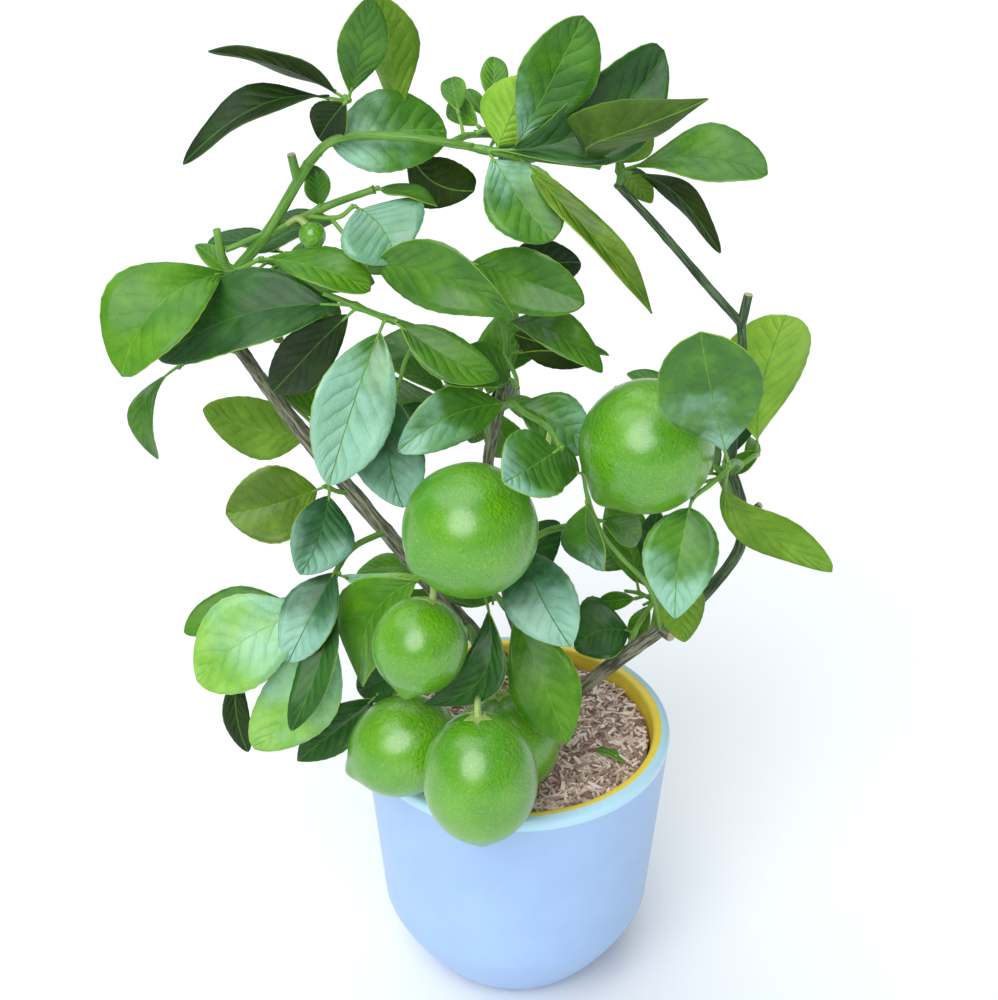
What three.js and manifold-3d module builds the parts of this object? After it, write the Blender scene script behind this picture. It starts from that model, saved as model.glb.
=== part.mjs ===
// A meyer lemon tree in a round glazed pot: pot, soil, trunk, boughs and masses of foliage with their fruit.
// Millimetres, +Z up, +X to the right and +Y to the back. The origin is the middle of the pot's flat foot.
import * as THREE from "three";
import { mergeVertices } from "three/addons/utils/BufferGeometryUtils.js";
import Module from "manifold-3d";

const wasm = await Module();
wasm.setup();

// Pot: a straight wall that narrows downward, on a round corner that ends at a flat foot.
const POT_HEIGHT = 185;
const RIM_RADIUS = 98;
const WALL_TAPER = 0.085; // radius lost for each millimetre down the wall
const FOOT_RADIUS = 48;
const CORNER_HEIGHT = 57;
const CORNER_POWER = 1.52; // 1 would be a quarter of an ellipse
const WALL_THICKNESS = 11;
const FLOOR_THICKNESS = 10;
const CORNER_STEPS = 6;
const POT_SIDES = 32;

// Soil: fills the pot to just below the rim, level where the trunk stands.
const SOIL_TOP = 171;
const SOIL_LEVEL_RADIUS = 45;
const SOIL_EDGE_DROP = 2;

const GAP = 0.3; // clearance where one solid meets another
const ROOT = 2; // how far a twig or leaf stalk is sunk in what carries it
const LEAF_THICKNESS = 1.7;
const STALK_SHARE = 0.12; // share of a leaf's length that is its stalk
const STALK_WIDTH = 2.2;
const LEAF_STATIONS = [0, STALK_SHARE, 0.28, 0.54, 0.82, 1];
const FRUIT_STALK = 1.5;
const NIPPLE = 4.5; // how far the blossom end of a fruit stands out of its round shape

// The rule that fills the far side of the crown.
const CLEAR = 8.5; // least distance from a sample point of a new leaf to one of another mass
const OWN_CLEAR = 7; // the same within one mass, where leaves may touch
const LIMB_CLEAR = 4; // least distance from a limb's bark
const GOLDEN_ANGLE = 137.5; // turn from one twig on a stem to the next
const SAMPLE_SHARES = [0.14, 0.26, 0.38, 0.5, 0.62, 0.74, 0.87, 1];
const SAMPLE_EDGES = [-1, -0.6, -0.2, 0.2, 0.6, 1];

const radians = THREE.MathUtils.degToRad;
const vector = (p) => new THREE.Vector3(...p);

// A heading in the view from the front: clock 0 is up and 90 to the right, lean comes toward the front.
function heading(clock, lean) {
  const across = Math.cos(radians(lean));
  return new THREE.Vector3(
    Math.sin(radians(clock)) * across,
    -Math.sin(radians(lean)),
    Math.cos(radians(clock)) * across,
  );
}

// What each limb and mass is made of

// A limb: its route from foot to tip, its two radii, and any short cut stubs on it.
const limb = (name, route, radii, more = {}) => ({
  name, route, radii, sides: 7, stubs: [], flare: 0, barked: false, ...more,
});

// A stub: where on the limb it starts, its heading, length and radius.
const stub = (at, clock, lean, long, radius) => ({ at, clock, lean, long, radius });

// A leaf: where on its twig, the heading of its tip, its length and width, and how far its upper side
// looks up: 0 is level to the front, 90 straight up, and past 120 the front shows its underside.
const leaf = (at, clock, lean, long, wide, face, more = {}) => ({
  at, clock, lean, long, wide, face, arch: 0.08, fold: 16, sweep: 0, bank: 0, ...more,
});

// A fruit: where its stalk leaves the twig, its middle, its width and length, and where its nipple points.
const fruit = (at, middle, wide, long, clock, lean) => ({ at, middle, wide, long, clock, lean });

// A twig: its route, its two radii, and the leaves and fruit on it.
const twig = (route, radii, leaves, fruits = []) => ({ route, radii, leaves, fruits });

const TRUNK = limb("trunk", [[20, 11, SOIL_TOP - 3], [22, 10, 179], [26, 8, 191], [27, 6, 203]], [9, 7.5], {
  sides: 12,
  flare: 0.55,
  barked: true,
});

const BOUGHS = [
  limb("bough_left_low", [[25, 7, 194], [-23, -5, 252], [-70, -8, 320], [-127, 0, 397], [-160, 5, 448]], [5.8, 3.6], {
    barked: true,
  }),
  limb("bough_left_high", [[-159, 5, 446], [-166, 4, 472], [-158, 0, 497], [-139, -3, 521], [-114, 0, 561]], [3.6, 2.8], {
    stubs: [stub(0.94, 350, 5, 16, 2.6), stub(0.76, 246, 0, 26, 1.8)],
  }),
  limb("bough_arch", [[-115, 0, 560], [-98, -1, 575], [-64, -3, 577], [-25, 0, 570]], [2.6, 2.2]),
  limb("bough_right_low", [[31, 5, 198], [65, 0, 235], [93, -5, 264]], [4.8, 4.2], {
    stubs: [stub(0.93, 95, 50, 9, 4.2)],
    barked: true,
  }),
  limb("bough_right_middle", [[92, -5, 262], [115, 0, 283], [134, 0, 316], [133, 0, 348], [125, 0, 372]], [3.8, 3], {
    stubs: [stub(0.66, 40, 10, 15, 2.2)],
  }),
  limb("bough_right_high", [[125, 0, 370], [126, 0, 418], [127, 0, 448], [125, 0, 468]], [3, 2.6], {
    stubs: [stub(0.93, 8, 0, 20, 2.8)],
  }),
  limb("bough_right_top", [[125, 0, 466], [102, 5, 491], [75, 9, 522], [53, 9, 546]], [2.6, 2.1]),
  limb("bough_middle", [[26, 8, 199], [3, 15, 238], [-10, 15, 298], [-18, 10, 363], [-11, 6, 410], [-7, 6, 438]], [4.4, 3], {
    barked: true,
  }),
];

// The masses that are seen from the front, twig by twig and leaf by leaf.
const FRONT_MASSES = [
  {
    name: "foliage_top_left",
    twigs: [
      twig([[-117, 3, 556], [-97, 11, 573], [-62, 17, 569]], [2, 1.3], [
        leaf(0.26, 85, -9, 69, 45, 27, { arch: 0.09, fold: 10, sweep: -0.04, bank: -2 }),
        leaf(0.96, 352, 6, 82, 30, 206, { bank: -16, fold: 24 }),
        leaf(1, 136, -20, 56, 31, 199, { arch: 0.02, sweep: -0.18, bank: -5 }),
      ]),
      twig([[-109, 8, 562], [-100, 13, 579], [-94, 4, 592], [-91, -2, 597]], [1.6, 1.2], [
        leaf(1, 14, 8, 59, 26, 25, { bank: 18, fold: 10 }),
        leaf(0.95, 295, 13, 78, 22, 109, { arch: 0.07, bank: 15 }),
        leaf(0.85, 255, 21, 93, 27, 85, { arch: 0.19, sweep: -0.02, bank: -2 }),
        leaf(1, 215, -17, 32, 23, 19, { arch: 0, sweep: 0.03, bank: 6 }),
      ]),
    ],
  },
  {
    name: "foliage_top_middle",
    twigs: [
      twig([[-27, 0, 570], [-3, -2, 566], [29, -3, 562], [43, 3, 558]], [2.2, 1.6], [
        leaf(0.31, 25, 8, 88, 41, 19, { arch: 0.06, sweep: -0.01, bank: 18 }),
        leaf(0.09, 63, -8, 110, 45, 23, { arch: 0.1, fold: 28, sweep: 0.16, bank: 3 }),
        leaf(1, 36, 45, 114, 37, 182, { arch: -0.15, fold: 24, sweep: 0.22, bank: 4 }),
        leaf(0.2, 25, -22, 44, 36, 203),
        leaf(0.14, 135, 38, 63, 41, 27, { fold: 8, sweep: 0.05, bank: -17 }),
        leaf(0.35, 134, 27, 112, 17, 55, { arch: 0.2, fold: 30, sweep: 0.06, bank: 2 }),
      ]),
    ],
  },
  {
    name: "foliage_top_right",
    twigs: [
      twig([[54, 9, 543], [55, 9, 553], [52, 8, 566]], [2, 1.5], [
        leaf(0.5, 80, 27, 85, 37, 55, { sweep: -0.06 }),
        leaf(0.6, 32, -27, 30, 22, 214),
        leaf(0.55, 145, -32, 40, 16, 189),
        leaf(0.5, 132, -8, 80, 17, 110, { arch: 0.18, bank: -25 }),
      ]),
    ],
  },
  {
    name: "foliage_arch_left",
    twigs: [
      twig([[-137, -3, 522], [-104, 2, 536], [-79, 0, 546]], [2.4, 2], [
        leaf(1, 101, 12, 36, 16, 78),
        leaf(0.42, 352, -12, 24, 14, 36, { fold: 30 }),
      ], [fruit(0.12, [-113, -9, 523], 15, 15, 150, 20)]),
      twig([[-117, 0, 530], [-99, -8, 533], [-90, -9, 540]], [1.6, 1.2], [
        leaf(1, 132, 37, 41, 52, 43, { arch: 0.11, fold: 8, sweep: -0.08, bank: -16 }),
      ]),
      twig([[-103, -6, 532], [-92, -18, 523], [-83, -27, 514]], [1.3, 1.1], [
        leaf(1, 100, 25, 89, 37, 21, { arch: 0.07, sweep: -0.12, bank: 19 }),
      ]),
    ],
  },
  {
    name: "foliage_left",
    twigs: [
      twig([[-157, 1, 498], [-156, -7, 501], [-142, -11, 510]], [1.8, 1.2], [
        leaf(0.5, 237, 38, 88, 56, 47, { arch: 0.21, sweep: 0.07, bank: 2 }),
        leaf(1, 97, 22, 67, 26, 52, { arch: 0.12, bank: -2 }),
      ]),
      twig([[-156, -3, 499], [-163, -4, 505], [-166, -3, 524]], [2.4, 2.2], []),
    ],
  },
  {
    name: "foliage_left_bend",
    twigs: [
      twig([[-156, 8, 440], [-166, 10, 444], [-180, 4, 447], [-192, -4, 442]], [1.6, 1.2], [
        leaf(1, 197, 9, 60, 16, 63, { arch: 0.21, sweep: 0.18, bank: 1 }),
      ]),
      twig([[-161, 10, 443], [-145, 18, 418], [-116, 9, 392]], [1.4, 1.1], [
        leaf(1, 275, -12, 73, 36, 205, { sweep: 0.09, bank: 3 }),
        leaf(0.55, 110, -15, 50, 28, 30),
      ]),
    ],
  },
  {
    name: "foliage_left_middle",
    twigs: [
      twig([[-98, -2, 356], [-106, -12, 363], [-112, -18, 370]], [1.7, 1.3], [
        leaf(1, 261, 16, 60, 44, 40, { fold: 26, sweep: -0.04, bank: -6 }),
        leaf(0.84, 203, 42, 54, 39, 11, { arch: 0.1, sweep: -0.03, bank: -19 }),
      ]),
    ],
  },
  {
    name: "foliage_left_low",
    twigs: [
      twig([[-79, -8, 333], [-97, -28, 334], [-107, -40, 323], [-109, -46, 304], [-119, -46, 275], [-133, -40, 252],
        [-152, -30, 252], [-169, -25, 250]], [2, 1.1], [
        leaf(0.36, 200, 34, 85, 23, 53, { arch: 0.06, sweep: -0.07, bank: 8 }),
        leaf(0.23, 213, 32, 65, 34, 38, { arch: 0.07, sweep: -0.01, bank: 18 }),
        leaf(0.43, 246, 16, 90, 54, 31, { fold: 8, sweep: 0.09, bank: 5 }),
        leaf(0.45, 210, 14, 98, 45, 29, { arch: 0.07, fold: 8, sweep: -0.09, bank: -7 }),
        leaf(1, 178, 14, 60, 16, 71, { arch: 0.09, sweep: 0.08, bank: 4 }),
        leaf(0.28, 102, -13, 52, 13, 43, { arch: -0.05, sweep: 0.09 }),
      ]),
      twig([[-109, -45, 304], [-122, -34, 302], [-134, -25, 297]], [1.4, 1.1], [
        leaf(1, 255, 9, 69, 31, 73, { bank: 4 }),
      ]),
    ],
  },
  {
    name: "foliage_low_front",
    twigs: [
      twig([[-51, -8, 294], [-49, -38, 320], [-54, -66, 339]], [2, 1.4], [
        leaf(0.8, 209, 5, 84, 48, 42, { sweep: 0.18, bank: 22 }),
        leaf(0.35, 96, 26, 38, 20, 40),
      ], [fruit(1, [-56, -92, 309], 54, 56, 197, 20)]),
      twig([[-49, -36, 319], [-37, -48, 323], [-20, -57, 321]], [1.4, 1.2], [
        leaf(1, 212, 24, 74, 26, 69, { sweep: -0.33, bank: -2 }),
      ]),
    ],
  },
  {
    name: "fruit_trio",
    twigs: [
      twig([[-31, -6, 264], [-27, -40, 280], [-24, -70, 279], [-23, -92, 273]], [2.2, 1.8], [], [
        fruit(0.9, [-68, -74, 224], 60, 68, 246, 10),
        fruit(1, [-22, -122, 238], 66, 78, 178, 12),
        fruit(0.6, [-3, -48, 208], 58, 64, 165, 10),
      ]),
      twig([[-28, -34, 279], [-56, -40, 266], [-83, -44, 241]], [1.5, 1.1], [
        leaf(1, 233, 16, 66, 27, 39, { sweep: -0.02, bank: -1 }),
        leaf(0.7, 238, -5, 36, 24, 30),
      ]),
    ],
  },
  {
    name: "foliage_middle_left",
    twigs: [
      twig([[-10, 5, 422], [-36, -12, 456], [-57, -26, 475], [-75, -34, 486], [-106, -38, 502]], [2.4, 1.6], [
        leaf(0.87, 252, -4, 117, 48, 48, { arch: 0.11, sweep: 0.05, bank: 4 }),
        leaf(0.73, 201, 24, 97, 46, 12, { arch: 0.07, sweep: 0.03, bank: -9 }),
        leaf(0.68, 115, 15, 66, 26, 48, { arch: 0.07, sweep: 0.07 }),
        leaf(0.86, 220, -13, 82, 30, 26, { arch: 0.06, sweep: 0.01 }),
      ]),
      twig([[-53, -23, 472], [-63, -20, 454], [-68, -22, 436]], [1.4, 1.2], [
        leaf(1, 178, 22, 68, 40, 25, { sweep: 0.1 }),
      ]),
    ],
  },
  {
    name: "foliage_middle_top",
    twigs: [
      twig([[-7, 6, 436], [-8, 6, 460], [-19, 0, 488], [-31, -10, 509]], [2.4, 1.5], [
        leaf(1, 99, 28, 75, 35, 21, { arch: 0.07, sweep: -0.03, bank: 13 }),
        leaf(0.4, 105, 32, 68, 25, 61, { arch: 0.2 }),
        leaf(0.3, 104, 10, 54, 26, 205),
        leaf(0.7, 90, -28, 63, 28, 34, { arch: 0.09, sweep: -0.04, bank: -1 }),
        leaf(0.1, 97, -14, 62, 20, 84),
      ]),
      twig([[-8, 4, 444], [-2, -10, 438], [-1, -22, 436]], [1.4, 1.2], [
        leaf(1, 297, 35, 55, 27, 41, { sweep: 0.17 }),
      ]),
    ],
  },
  {
    name: "foliage_middle",
    twigs: [
      twig([[-11, 6, 408], [-4, -18, 424], [4, -30, 424], [15, -56, 430], [22, -80, 430]], [2.4, 1.6], [
        leaf(0.25, 261, 30, 74, 32, 31, { sweep: 0.1, bank: -8 }),
        leaf(0.21, 117, 12, 53, 33, 33, { arch: 0.09, sweep: -0.07, bank: -6 }),
        leaf(1, 282, 57, 58, 40, 31, { arch: -0.01, sweep: -0.01, bank: 3 }),
      ], [fruit(0.8, [-27, -90, 384], 75, 75, 255, 38)]),
    ],
  },
  {
    name: "foliage_middle_low",
    twigs: [
      twig([[-11, 15, 300], [-2, -16, 320], [2, -45, 351]], [2, 1.4], [
        leaf(1, 148, 42, 69, 42, 11, { arch: 0.09, sweep: 0.04, bank: 5 }),
      ]),
      twig([[-4, -8, 312], [-5, -22, 304], [-6, -33, 298]], [1.4, 1.2], [
        leaf(1, 153, 31, 90, 42, 31, { fold: 8, sweep: -0.02, bank: -1 }),
      ]),
      twig([[-3, -8, 313], [14, -17, 337], [36, -24, 348]], [2, 1.9], []),
    ],
  },
  {
    name: "foliage_middle_right",
    twigs: [
      twig([[89, -6, 260], [79, -20, 300], [60, -30, 329], [48, -36, 350], [39, -38, 376], [36, -34, 396]], [1.7, 1.1], [
        leaf(0.78, 168, 13, 45, 35, 30, { arch: 0.12, sweep: 0.04, bank: 46 }),
        leaf(0.67, 133, -22, 39, 18, 32, { arch: 0.11, sweep: -0.09, bank: -1 }),
        leaf(0.92, 292, 10, 36, 26, 30),
      ]),
    ],
  },
  {
    name: "foliage_right",
    twigs: [
      twig([[125, 2, 366], [129, -14, 382], [121, -42, 400], [115, -68, 412]], [2.2, 1.6], [
        leaf(1, 346, 20, 108, 55, 30, { arch: 0.02, sweep: -0.01, bank: -6 }),
        leaf(0.93, 140, -6, 101, 28, 186, { arch: 0.22, fold: 12, sweep: -0.21, bank: -3 }),
      ]),
      twig([[122, -40, 398], [109, -50, 391], [97, -58, 386]], [1.6, 1.3], [
        leaf(1, 189, 28, 69, 42, 26, { sweep: 0.04, bank: 2 }),
      ]),
      twig([[129, -13, 381], [138, -2, 381], [142, 9, 376]], [1.6, 1.3], [
        leaf(1, 7, -4, 89, 53, 196, { arch: 0.09, sweep: 0.03, bank: 17 }),
      ]),
    ],
  },
  {
    name: "fruit_right",
    twigs: [
      twig([[126, -2, 446], [116, -20, 462], [103, -40, 463]], [2, 1.7], [], [
        fruit(1, [71, -48, 413], 75, 77, 222, 12),
      ]),
    ],
  },
  {
    name: "foliage_right_low",
    twigs: [
      twig([[69, 3, 238], [77, 12, 254], [94, 4, 290], [102, -26, 317]], [1.8, 1.3], [
        leaf(0.22, 260, 11, 39, 44, 48, { arch: 0.13, sweep: 0.13, bank: 6 }),
        leaf(1, 184, 20, 44, 28, 199, { sweep: -0.03, bank: -3 }),
        leaf(0.6, 150, -10, 30, 22, 60),
      ]),
    ],
  },
];

// The masses that fill the crown's far side grow by rule: a stem, then twigs round it, each with its leaves.
// The rule stays in the mass's own ellipsoid and leaves out a twig or leaf that would come near another piece.
const bush = (name, stem, middle, reach, tries, seed) => ({ name, stem, middle, reach, tries, seed });

const BACK_MASSES = [
  bush("foliage_back_left", [[-161, 2, 484], [-152, 26, 484], [-132, 46, 480]], [-134, 44, 470], [66, 44, 52], 14, 2780),
  bush("foliage_back_middle", [[-16, 10, 388], [-24, 36, 392], [-34, 58, 396]], [-34, 58, 400], [84, 54, 60], 16, 1855),
  bush("foliage_back_right", [[133, 2, 340], [124, 26, 352], [106, 44, 366]], [100, 46, 380], [62, 48, 66], 14, 4038),
  bush("foliage_back_low", [[-6, 16, 262], [-18, 38, 262], [-40, 54, 266]], [-42, 54, 274], [80, 52, 56], 16, 1559),
  bush("foliage_back_low_right", [[84, -1, 255], [88, 24, 260], [86, 44, 266]], [76, 50, 270], [58, 52, 54], 14, 301),
  bush("foliage_back_top", [[-36, -1, 573], [-27, 16, 571], [-8, 40, 562]], [-12, 44, 560], [76, 46, 50], 14, 3631),
];

// Curves and solids

const curveThrough = (route) => new THREE.CatmullRomCurve3(route.map(vector), false, "catmullrom", 0.5);

// The limb's frame at a share of its length, with its side carried on from ring to ring without a twist.
function framesAlong(curve, shares) {
  let side = new THREE.Vector3(0, 1, 0);
  return shares.map((share) => {
    const along = curve.getTangent(share);
    side = side.clone().addScaledVector(along, -side.dot(along)).normalize();
    return { middle: curve.getPoint(share), along, side, across: along.clone().cross(side) };
  });
}

// Moves each ring of a capped cylinder to its own place: ringPoint is told the ring's number and the vertex's
// two coordinates on the unit circle.
function bendCylinder(sides, ringCount, ringPoint) {
  const shape = new THREE.CylinderGeometry(1, 1, 1, sides, ringCount);
  const places = shape.getAttribute("position");
  for (let i = 0; i < places.count; i++) {
    const ring = Math.round((places.getY(i) + 0.5) * ringCount);
    places.setXYZ(i, ...ringPoint(ring, places.getX(i), places.getZ(i)).toArray());
  }
  return shape;
}

function solidFrom(geometry) {
  const bare = geometry.clone();
  bare.deleteAttribute("normal");
  bare.deleteAttribute("uv");
  const merged = mergeVertices(bare, 1e-4);
  const solid = new wasm.Manifold(
    new wasm.Mesh({
      numProp: 3,
      vertProperties: merged.attributes.position.array,
      triVerts: new Uint32Array(merged.index.array),
    }),
  );
  return solid;
}

function meshFrom(name, solid, material) {
  const made = solid.getMesh();
  const geometry = new THREE.BufferGeometry();
  geometry.setAttribute("position", new THREE.BufferAttribute(made.vertProperties, 3));
  geometry.setIndex(new THREE.BufferAttribute(made.triVerts, 1));
  geometry.computeVertexNormals();
  const mesh = new THREE.Mesh(geometry, material);
  mesh.name = name;
  return mesh;
}

const joined = (solids) => solids.reduce((all, next) => all.add(next));

// The largest of the separate bodies of a solid, which drops the scraps that a cut leaves.
function largestBody(solid) {
  return solid.decompose().reduce((best, next) => (next.volume() > best.volume() ? next : best));
}

// A tapering limb along its curve. grow makes it larger on all sides, to cut its clearance out of a neighbour.
function taperedSolid(route, [footRadius, tipRadius], sides, flare = 0, grow = 0) {
  const curve = curveThrough(route);
  const rings = Math.max(2, Math.ceil(curve.getLength() / 18));
  const shares = Array.from({ length: rings + 1 }, (_, i) => i / rings);
  const frames = framesAlong(curve, shares);
  const shape = bendCylinder(sides, rings, (ring, x, z) => {
    const { middle, along, side, across } = frames[ring];
    const spread = 1 + flare * Math.exp(-shares[ring] * 6);
    const radius = THREE.MathUtils.lerp(footRadius, tipRadius, shares[ring]) * spread + grow;
    const end = ring === 0 ? -grow : ring === rings ? grow : 0;
    return middle.clone().addScaledVector(along, end).addScaledVector(side, z * radius).addScaledVector(across, x * radius);
  });
  return solidFrom(shape);
}

function limbSolid({ route, radii, sides, flare, stubs }, grow = 0) {
  const curve = curveThrough(route);
  const stubSolids = stubs.map(({ at, clock, lean, long, radius }) => {
    const start = curve.getPoint(at);
    const end = start.clone().addScaledVector(heading(clock, lean), long);
    return taperedSolid([start.toArray(), end.toArray()], [radius, radius * 0.92], 6, 0, grow);
  });
  return joined([taperedSolid(route, radii, sides, flare, grow), ...stubSolids]);
}

// Half the width of a leaf at a share of its length: its stalk, then a blade with a pointed tip.
function halfWidth(wide, share) {
  const blade = (share - STALK_SHARE) / (1 - STALK_SHARE);
  const swell = blade > 0 ? Math.sin(Math.PI * Math.min(blade, 0.985) ** 0.95) ** 0.62 : 0;
  return Math.max(STALK_WIDTH / 2, (wide / 2) * swell);
}

// The frame of a leaf: where its stalk starts, and the directions of its length, width and upper side.
function leafFrame(curve, { at, clock, lean, face, bank }) {
  const along = heading(clock, lean);
  const facing = new THREE.Vector3(0, -Math.cos(radians(face)), Math.sin(radians(face)));
  const up = facing.addScaledVector(along, -facing.dot(along)).normalize().applyAxisAngle(along, radians(bank));
  return { foot: curve.getPoint(at), along, up, across: along.clone().cross(up) };
}

// A point of the leaf: share of its length, and -1 to 1 from its left edge to its right one.
function leafPoint(frame, { long, wide, arch, fold, sweep }, share, edge) {
  const bow = 4 * share * (1 - share);
  const half = halfWidth(wide, share);
  return frame.foot
    .clone()
    .addScaledVector(frame.along, long * share)
    .addScaledVector(frame.up, long * arch * bow + Math.abs(edge) * half * Math.tan(radians(fold)))
    .addScaledVector(frame.across, long * sweep * bow + edge * half);
}

function leafSolid(curve, row) {
  const frame = leafFrame(curve, row);
  const shape = bendCylinder(4, LEAF_STATIONS.length - 1, (ring, x, z) => {
    const point = leafPoint(frame, row, LEAF_STATIONS[ring], x);
    return point.addScaledVector(frame.up, (z * LEAF_THICKNESS) / 2);
  });
  return solidFrom(shape);
}

// A round fruit with a nipple at its blossom end, and the stalk that carries it.
function fruitSolid(curve, { at, middle, wide, long, clock, lean }) {
  const large = wide > 30;
  const steps = large ? 9 : 5;
  const profile = Array.from({ length: steps + 1 }, (_, i) => {
    const angle = (Math.PI * i) / steps;
    const nipple = large ? NIPPLE * Math.exp(-(((Math.PI - angle) / 0.24) ** 2)) : 0;
    return new THREE.Vector2((wide / 2) * Math.sin(angle), (long / 2) * Math.cos(angle) - nipple);
  });
  profile[0].x = 0;
  profile[steps].x = 0;
  const points = heading(clock, lean);
  const turn = new THREE.Quaternion().setFromUnitVectors(new THREE.Vector3(0, -1, 0), points);
  const shape = new THREE.LatheGeometry(profile.reverse(), large ? 13 : 7).applyQuaternion(turn).translate(...middle);
  const start = curve.getPoint(at);
  const crown = vector(middle).addScaledVector(points, ROOT - long / 2);
  const above = vector(middle).addScaledVector(points, -long / 2 - start.distanceTo(crown) * 0.3);
  const route = [start, above.lerp(start, 0.25), crown].map((p) => p.toArray());
  return solidFrom(shape).add(taperedSolid(route, [FRUIT_STALK, FRUIT_STALK * 1.3], 5));
}

function massSolid(mass, limbsGrown) {
  const pieces = mass.twigs.flatMap((t) => {
    const curve = curveThrough(t.route);
    return [
      taperedSolid(t.route, t.radii, t.radii[0] < 1.8 ? 3 : 4),
      ...t.leaves.map((row) => leafSolid(curve, row)),
      ...t.fruits.map((row) => fruitSolid(curve, row)),
    ];
  });
  return largestBody(joined(pieces).subtract(limbsGrown));
}

// The rule for the far side of the crown

// Numbers from 0 to 1 that come out the same each time for the same seed.
function numbersFrom(seed) {
  let state = seed;
  return () => {
    state = (state * 16807) % 2147483647;
    return state / 2147483647;
  };
}

// Points spread over a leaf, which stand for it where the rule asks what is near.
function leafSamples(curve, row) {
  const frame = leafFrame(curve, row);
  return SAMPLE_SHARES.flatMap((share) => SAMPLE_EDGES.map((edge) => leafPoint(frame, row, share, edge)));
}

const curveSamples = (curve, count) => Array.from({ length: count + 1 }, (_, i) => curve.getPoint(i / count));

// The points that a limb or a mass takes up, each with the distance to keep from it.
const limbTaken = ({ route, radii }) =>
  curveSamples(curveThrough(route), 40).map((place) => ({ place, clear: radii[0] + LIMB_CLEAR }));

function massTaken(mass) {
  return mass.twigs.flatMap(({ route, leaves, fruits }) => {
    const curve = curveThrough(route);
    const points = [...curveSamples(curve, 12), ...leaves.flatMap((row) => leafSamples(curve, row))];
    return [
      ...points.map((place) => ({ place, clear: CLEAR })),
      ...fruits.map((row) => ({ place: vector(row.middle), clear: row.long / 2 + CLEAR })),
    ];
  });
}

// Whether every point lies in the ellipsoid and clear of what is taken.
function areFree(points, { middle, reach }, taken) {
  return points.every((point) => {
    const from = point.toArray().map((value, k) => (value - middle[k]) / reach[k]);
    return Math.hypot(...from) < 1 && taken.every(({ place, clear }) => point.distanceTo(place) > clear);
  });
}

// Grows one mass: twigs leave the stem a golden angle apart, with a leaf at the tip and one on each side.
function grownMass(row, taken) {
  const { lerp } = THREE.MathUtils;
  const random = numbersFrom(row.seed);
  const stem = curveThrough(row.stem);
  const twigs = [twig(row.stem, [2.2, 1.4], [])];
  const own = [];
  for (let i = 0; i < row.tries; i++) {
    const at = lerp(0.4, 1, (i + 1) / row.tries);
    const clock = GOLDEN_ANGLE * i + 40 * random();
    const lean = lerp(-65, 25, random());
    const start = stem.getPoint(at);
    const tip = start.clone().addScaledVector(heading(clock, lean), lerp(10, 22, random()));
    const middle = start.clone().lerp(tip, 0.5);
    middle.z += 2;
    const route = [start, middle, tip].map((p) => p.toArray());
    const curve = curveThrough(route);
    const leaves = [0, 70, -70].map((turn, k) => {
      const long = lerp(46, 78, random());
      const wide = long * lerp(0.38, 0.52, random());
      const face = lerp(15, 75, random());
      const bank = lerp(-30, 30, random());
      return leaf(k === 0 ? 1 : 0.55, clock + turn, lean - 10, long, wide, face, { bank, arch: 0.12 });
    });
    if (!areFree(curveSamples(curve, 3), row, taken)) continue;
    const kept = leaves.filter((each) => {
      const points = leafSamples(curve, each);
      if (!areFree(points, row, [...taken, ...own])) return false;
      own.push(...points.map((place) => ({ place, clear: OWN_CLEAR })));
      return true;
    });
    if (kept.length > 0) twigs.push(twig(route, [1.5, 1.1], kept));
  }
  return { name: row.name, twigs };
}

// Pot and soil

// The outer wall's radius at a height.
function potRadius(z) {
  const wall = RIM_RADIUS - (POT_HEIGHT - z) * WALL_TAPER;
  if (z >= CORNER_HEIGHT) return wall;
  const angle = Math.asin(Math.max(0, 1 - z / CORNER_HEIGHT) ** (1 / CORNER_POWER));
  return FOOT_RADIUS + (wall - FOOT_RADIUS) * Math.cos(angle) ** CORNER_POWER;
}

// Heights of the profile's points on the round corner, and those of them that are above the floor inside.
const cornerHeights = Array.from(
  { length: CORNER_STEPS + 1 },
  (_, i) => CORNER_HEIGHT * (1 - Math.sin((Math.PI / 2) * (1 - i / CORNER_STEPS)) ** CORNER_POWER),
);
const innerHeights = [FLOOR_THICKNESS, ...cornerHeights.filter((z) => z > FLOOR_THICKNESS + 3)];

const roundSolid = (profile) => solidFrom(new THREE.LatheGeometry(profile, POT_SIDES).rotateX(Math.PI / 2));

function potSolid() {
  const lip = WALL_THICKNESS / 2;
  const rim = Array.from({ length: 5 }, (_, i) => {
    const angle = (Math.PI * i) / 4;
    return new THREE.Vector2(RIM_RADIUS - lip + lip * Math.cos(angle), POT_HEIGHT - lip + lip * Math.sin(angle));
  });
  const inside = innerHeights.map((z) => new THREE.Vector2(potRadius(z) - WALL_THICKNESS, z)).reverse();
  return roundSolid([
    new THREE.Vector2(0, 0),
    ...cornerHeights.map((z) => new THREE.Vector2(potRadius(z), z)),
    ...rim,
    ...inside,
    new THREE.Vector2(0, FLOOR_THICKNESS),
  ]);
}

function soilSolid() {
  const heights = [...innerHeights, SOIL_TOP - SOIL_EDGE_DROP];
  const wall = heights.map((z) => new THREE.Vector2(potRadius(z) - WALL_THICKNESS - 2 * GAP, z));
  wall[0].y += GAP;
  return roundSolid([
    new THREE.Vector2(0, FLOOR_THICKNESS + GAP),
    ...wall,
    new THREE.Vector2(SOIL_LEVEL_RADIUS, SOIL_TOP),
    new THREE.Vector2(0, SOIL_TOP),
  ]);
}

// The whole plant

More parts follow.
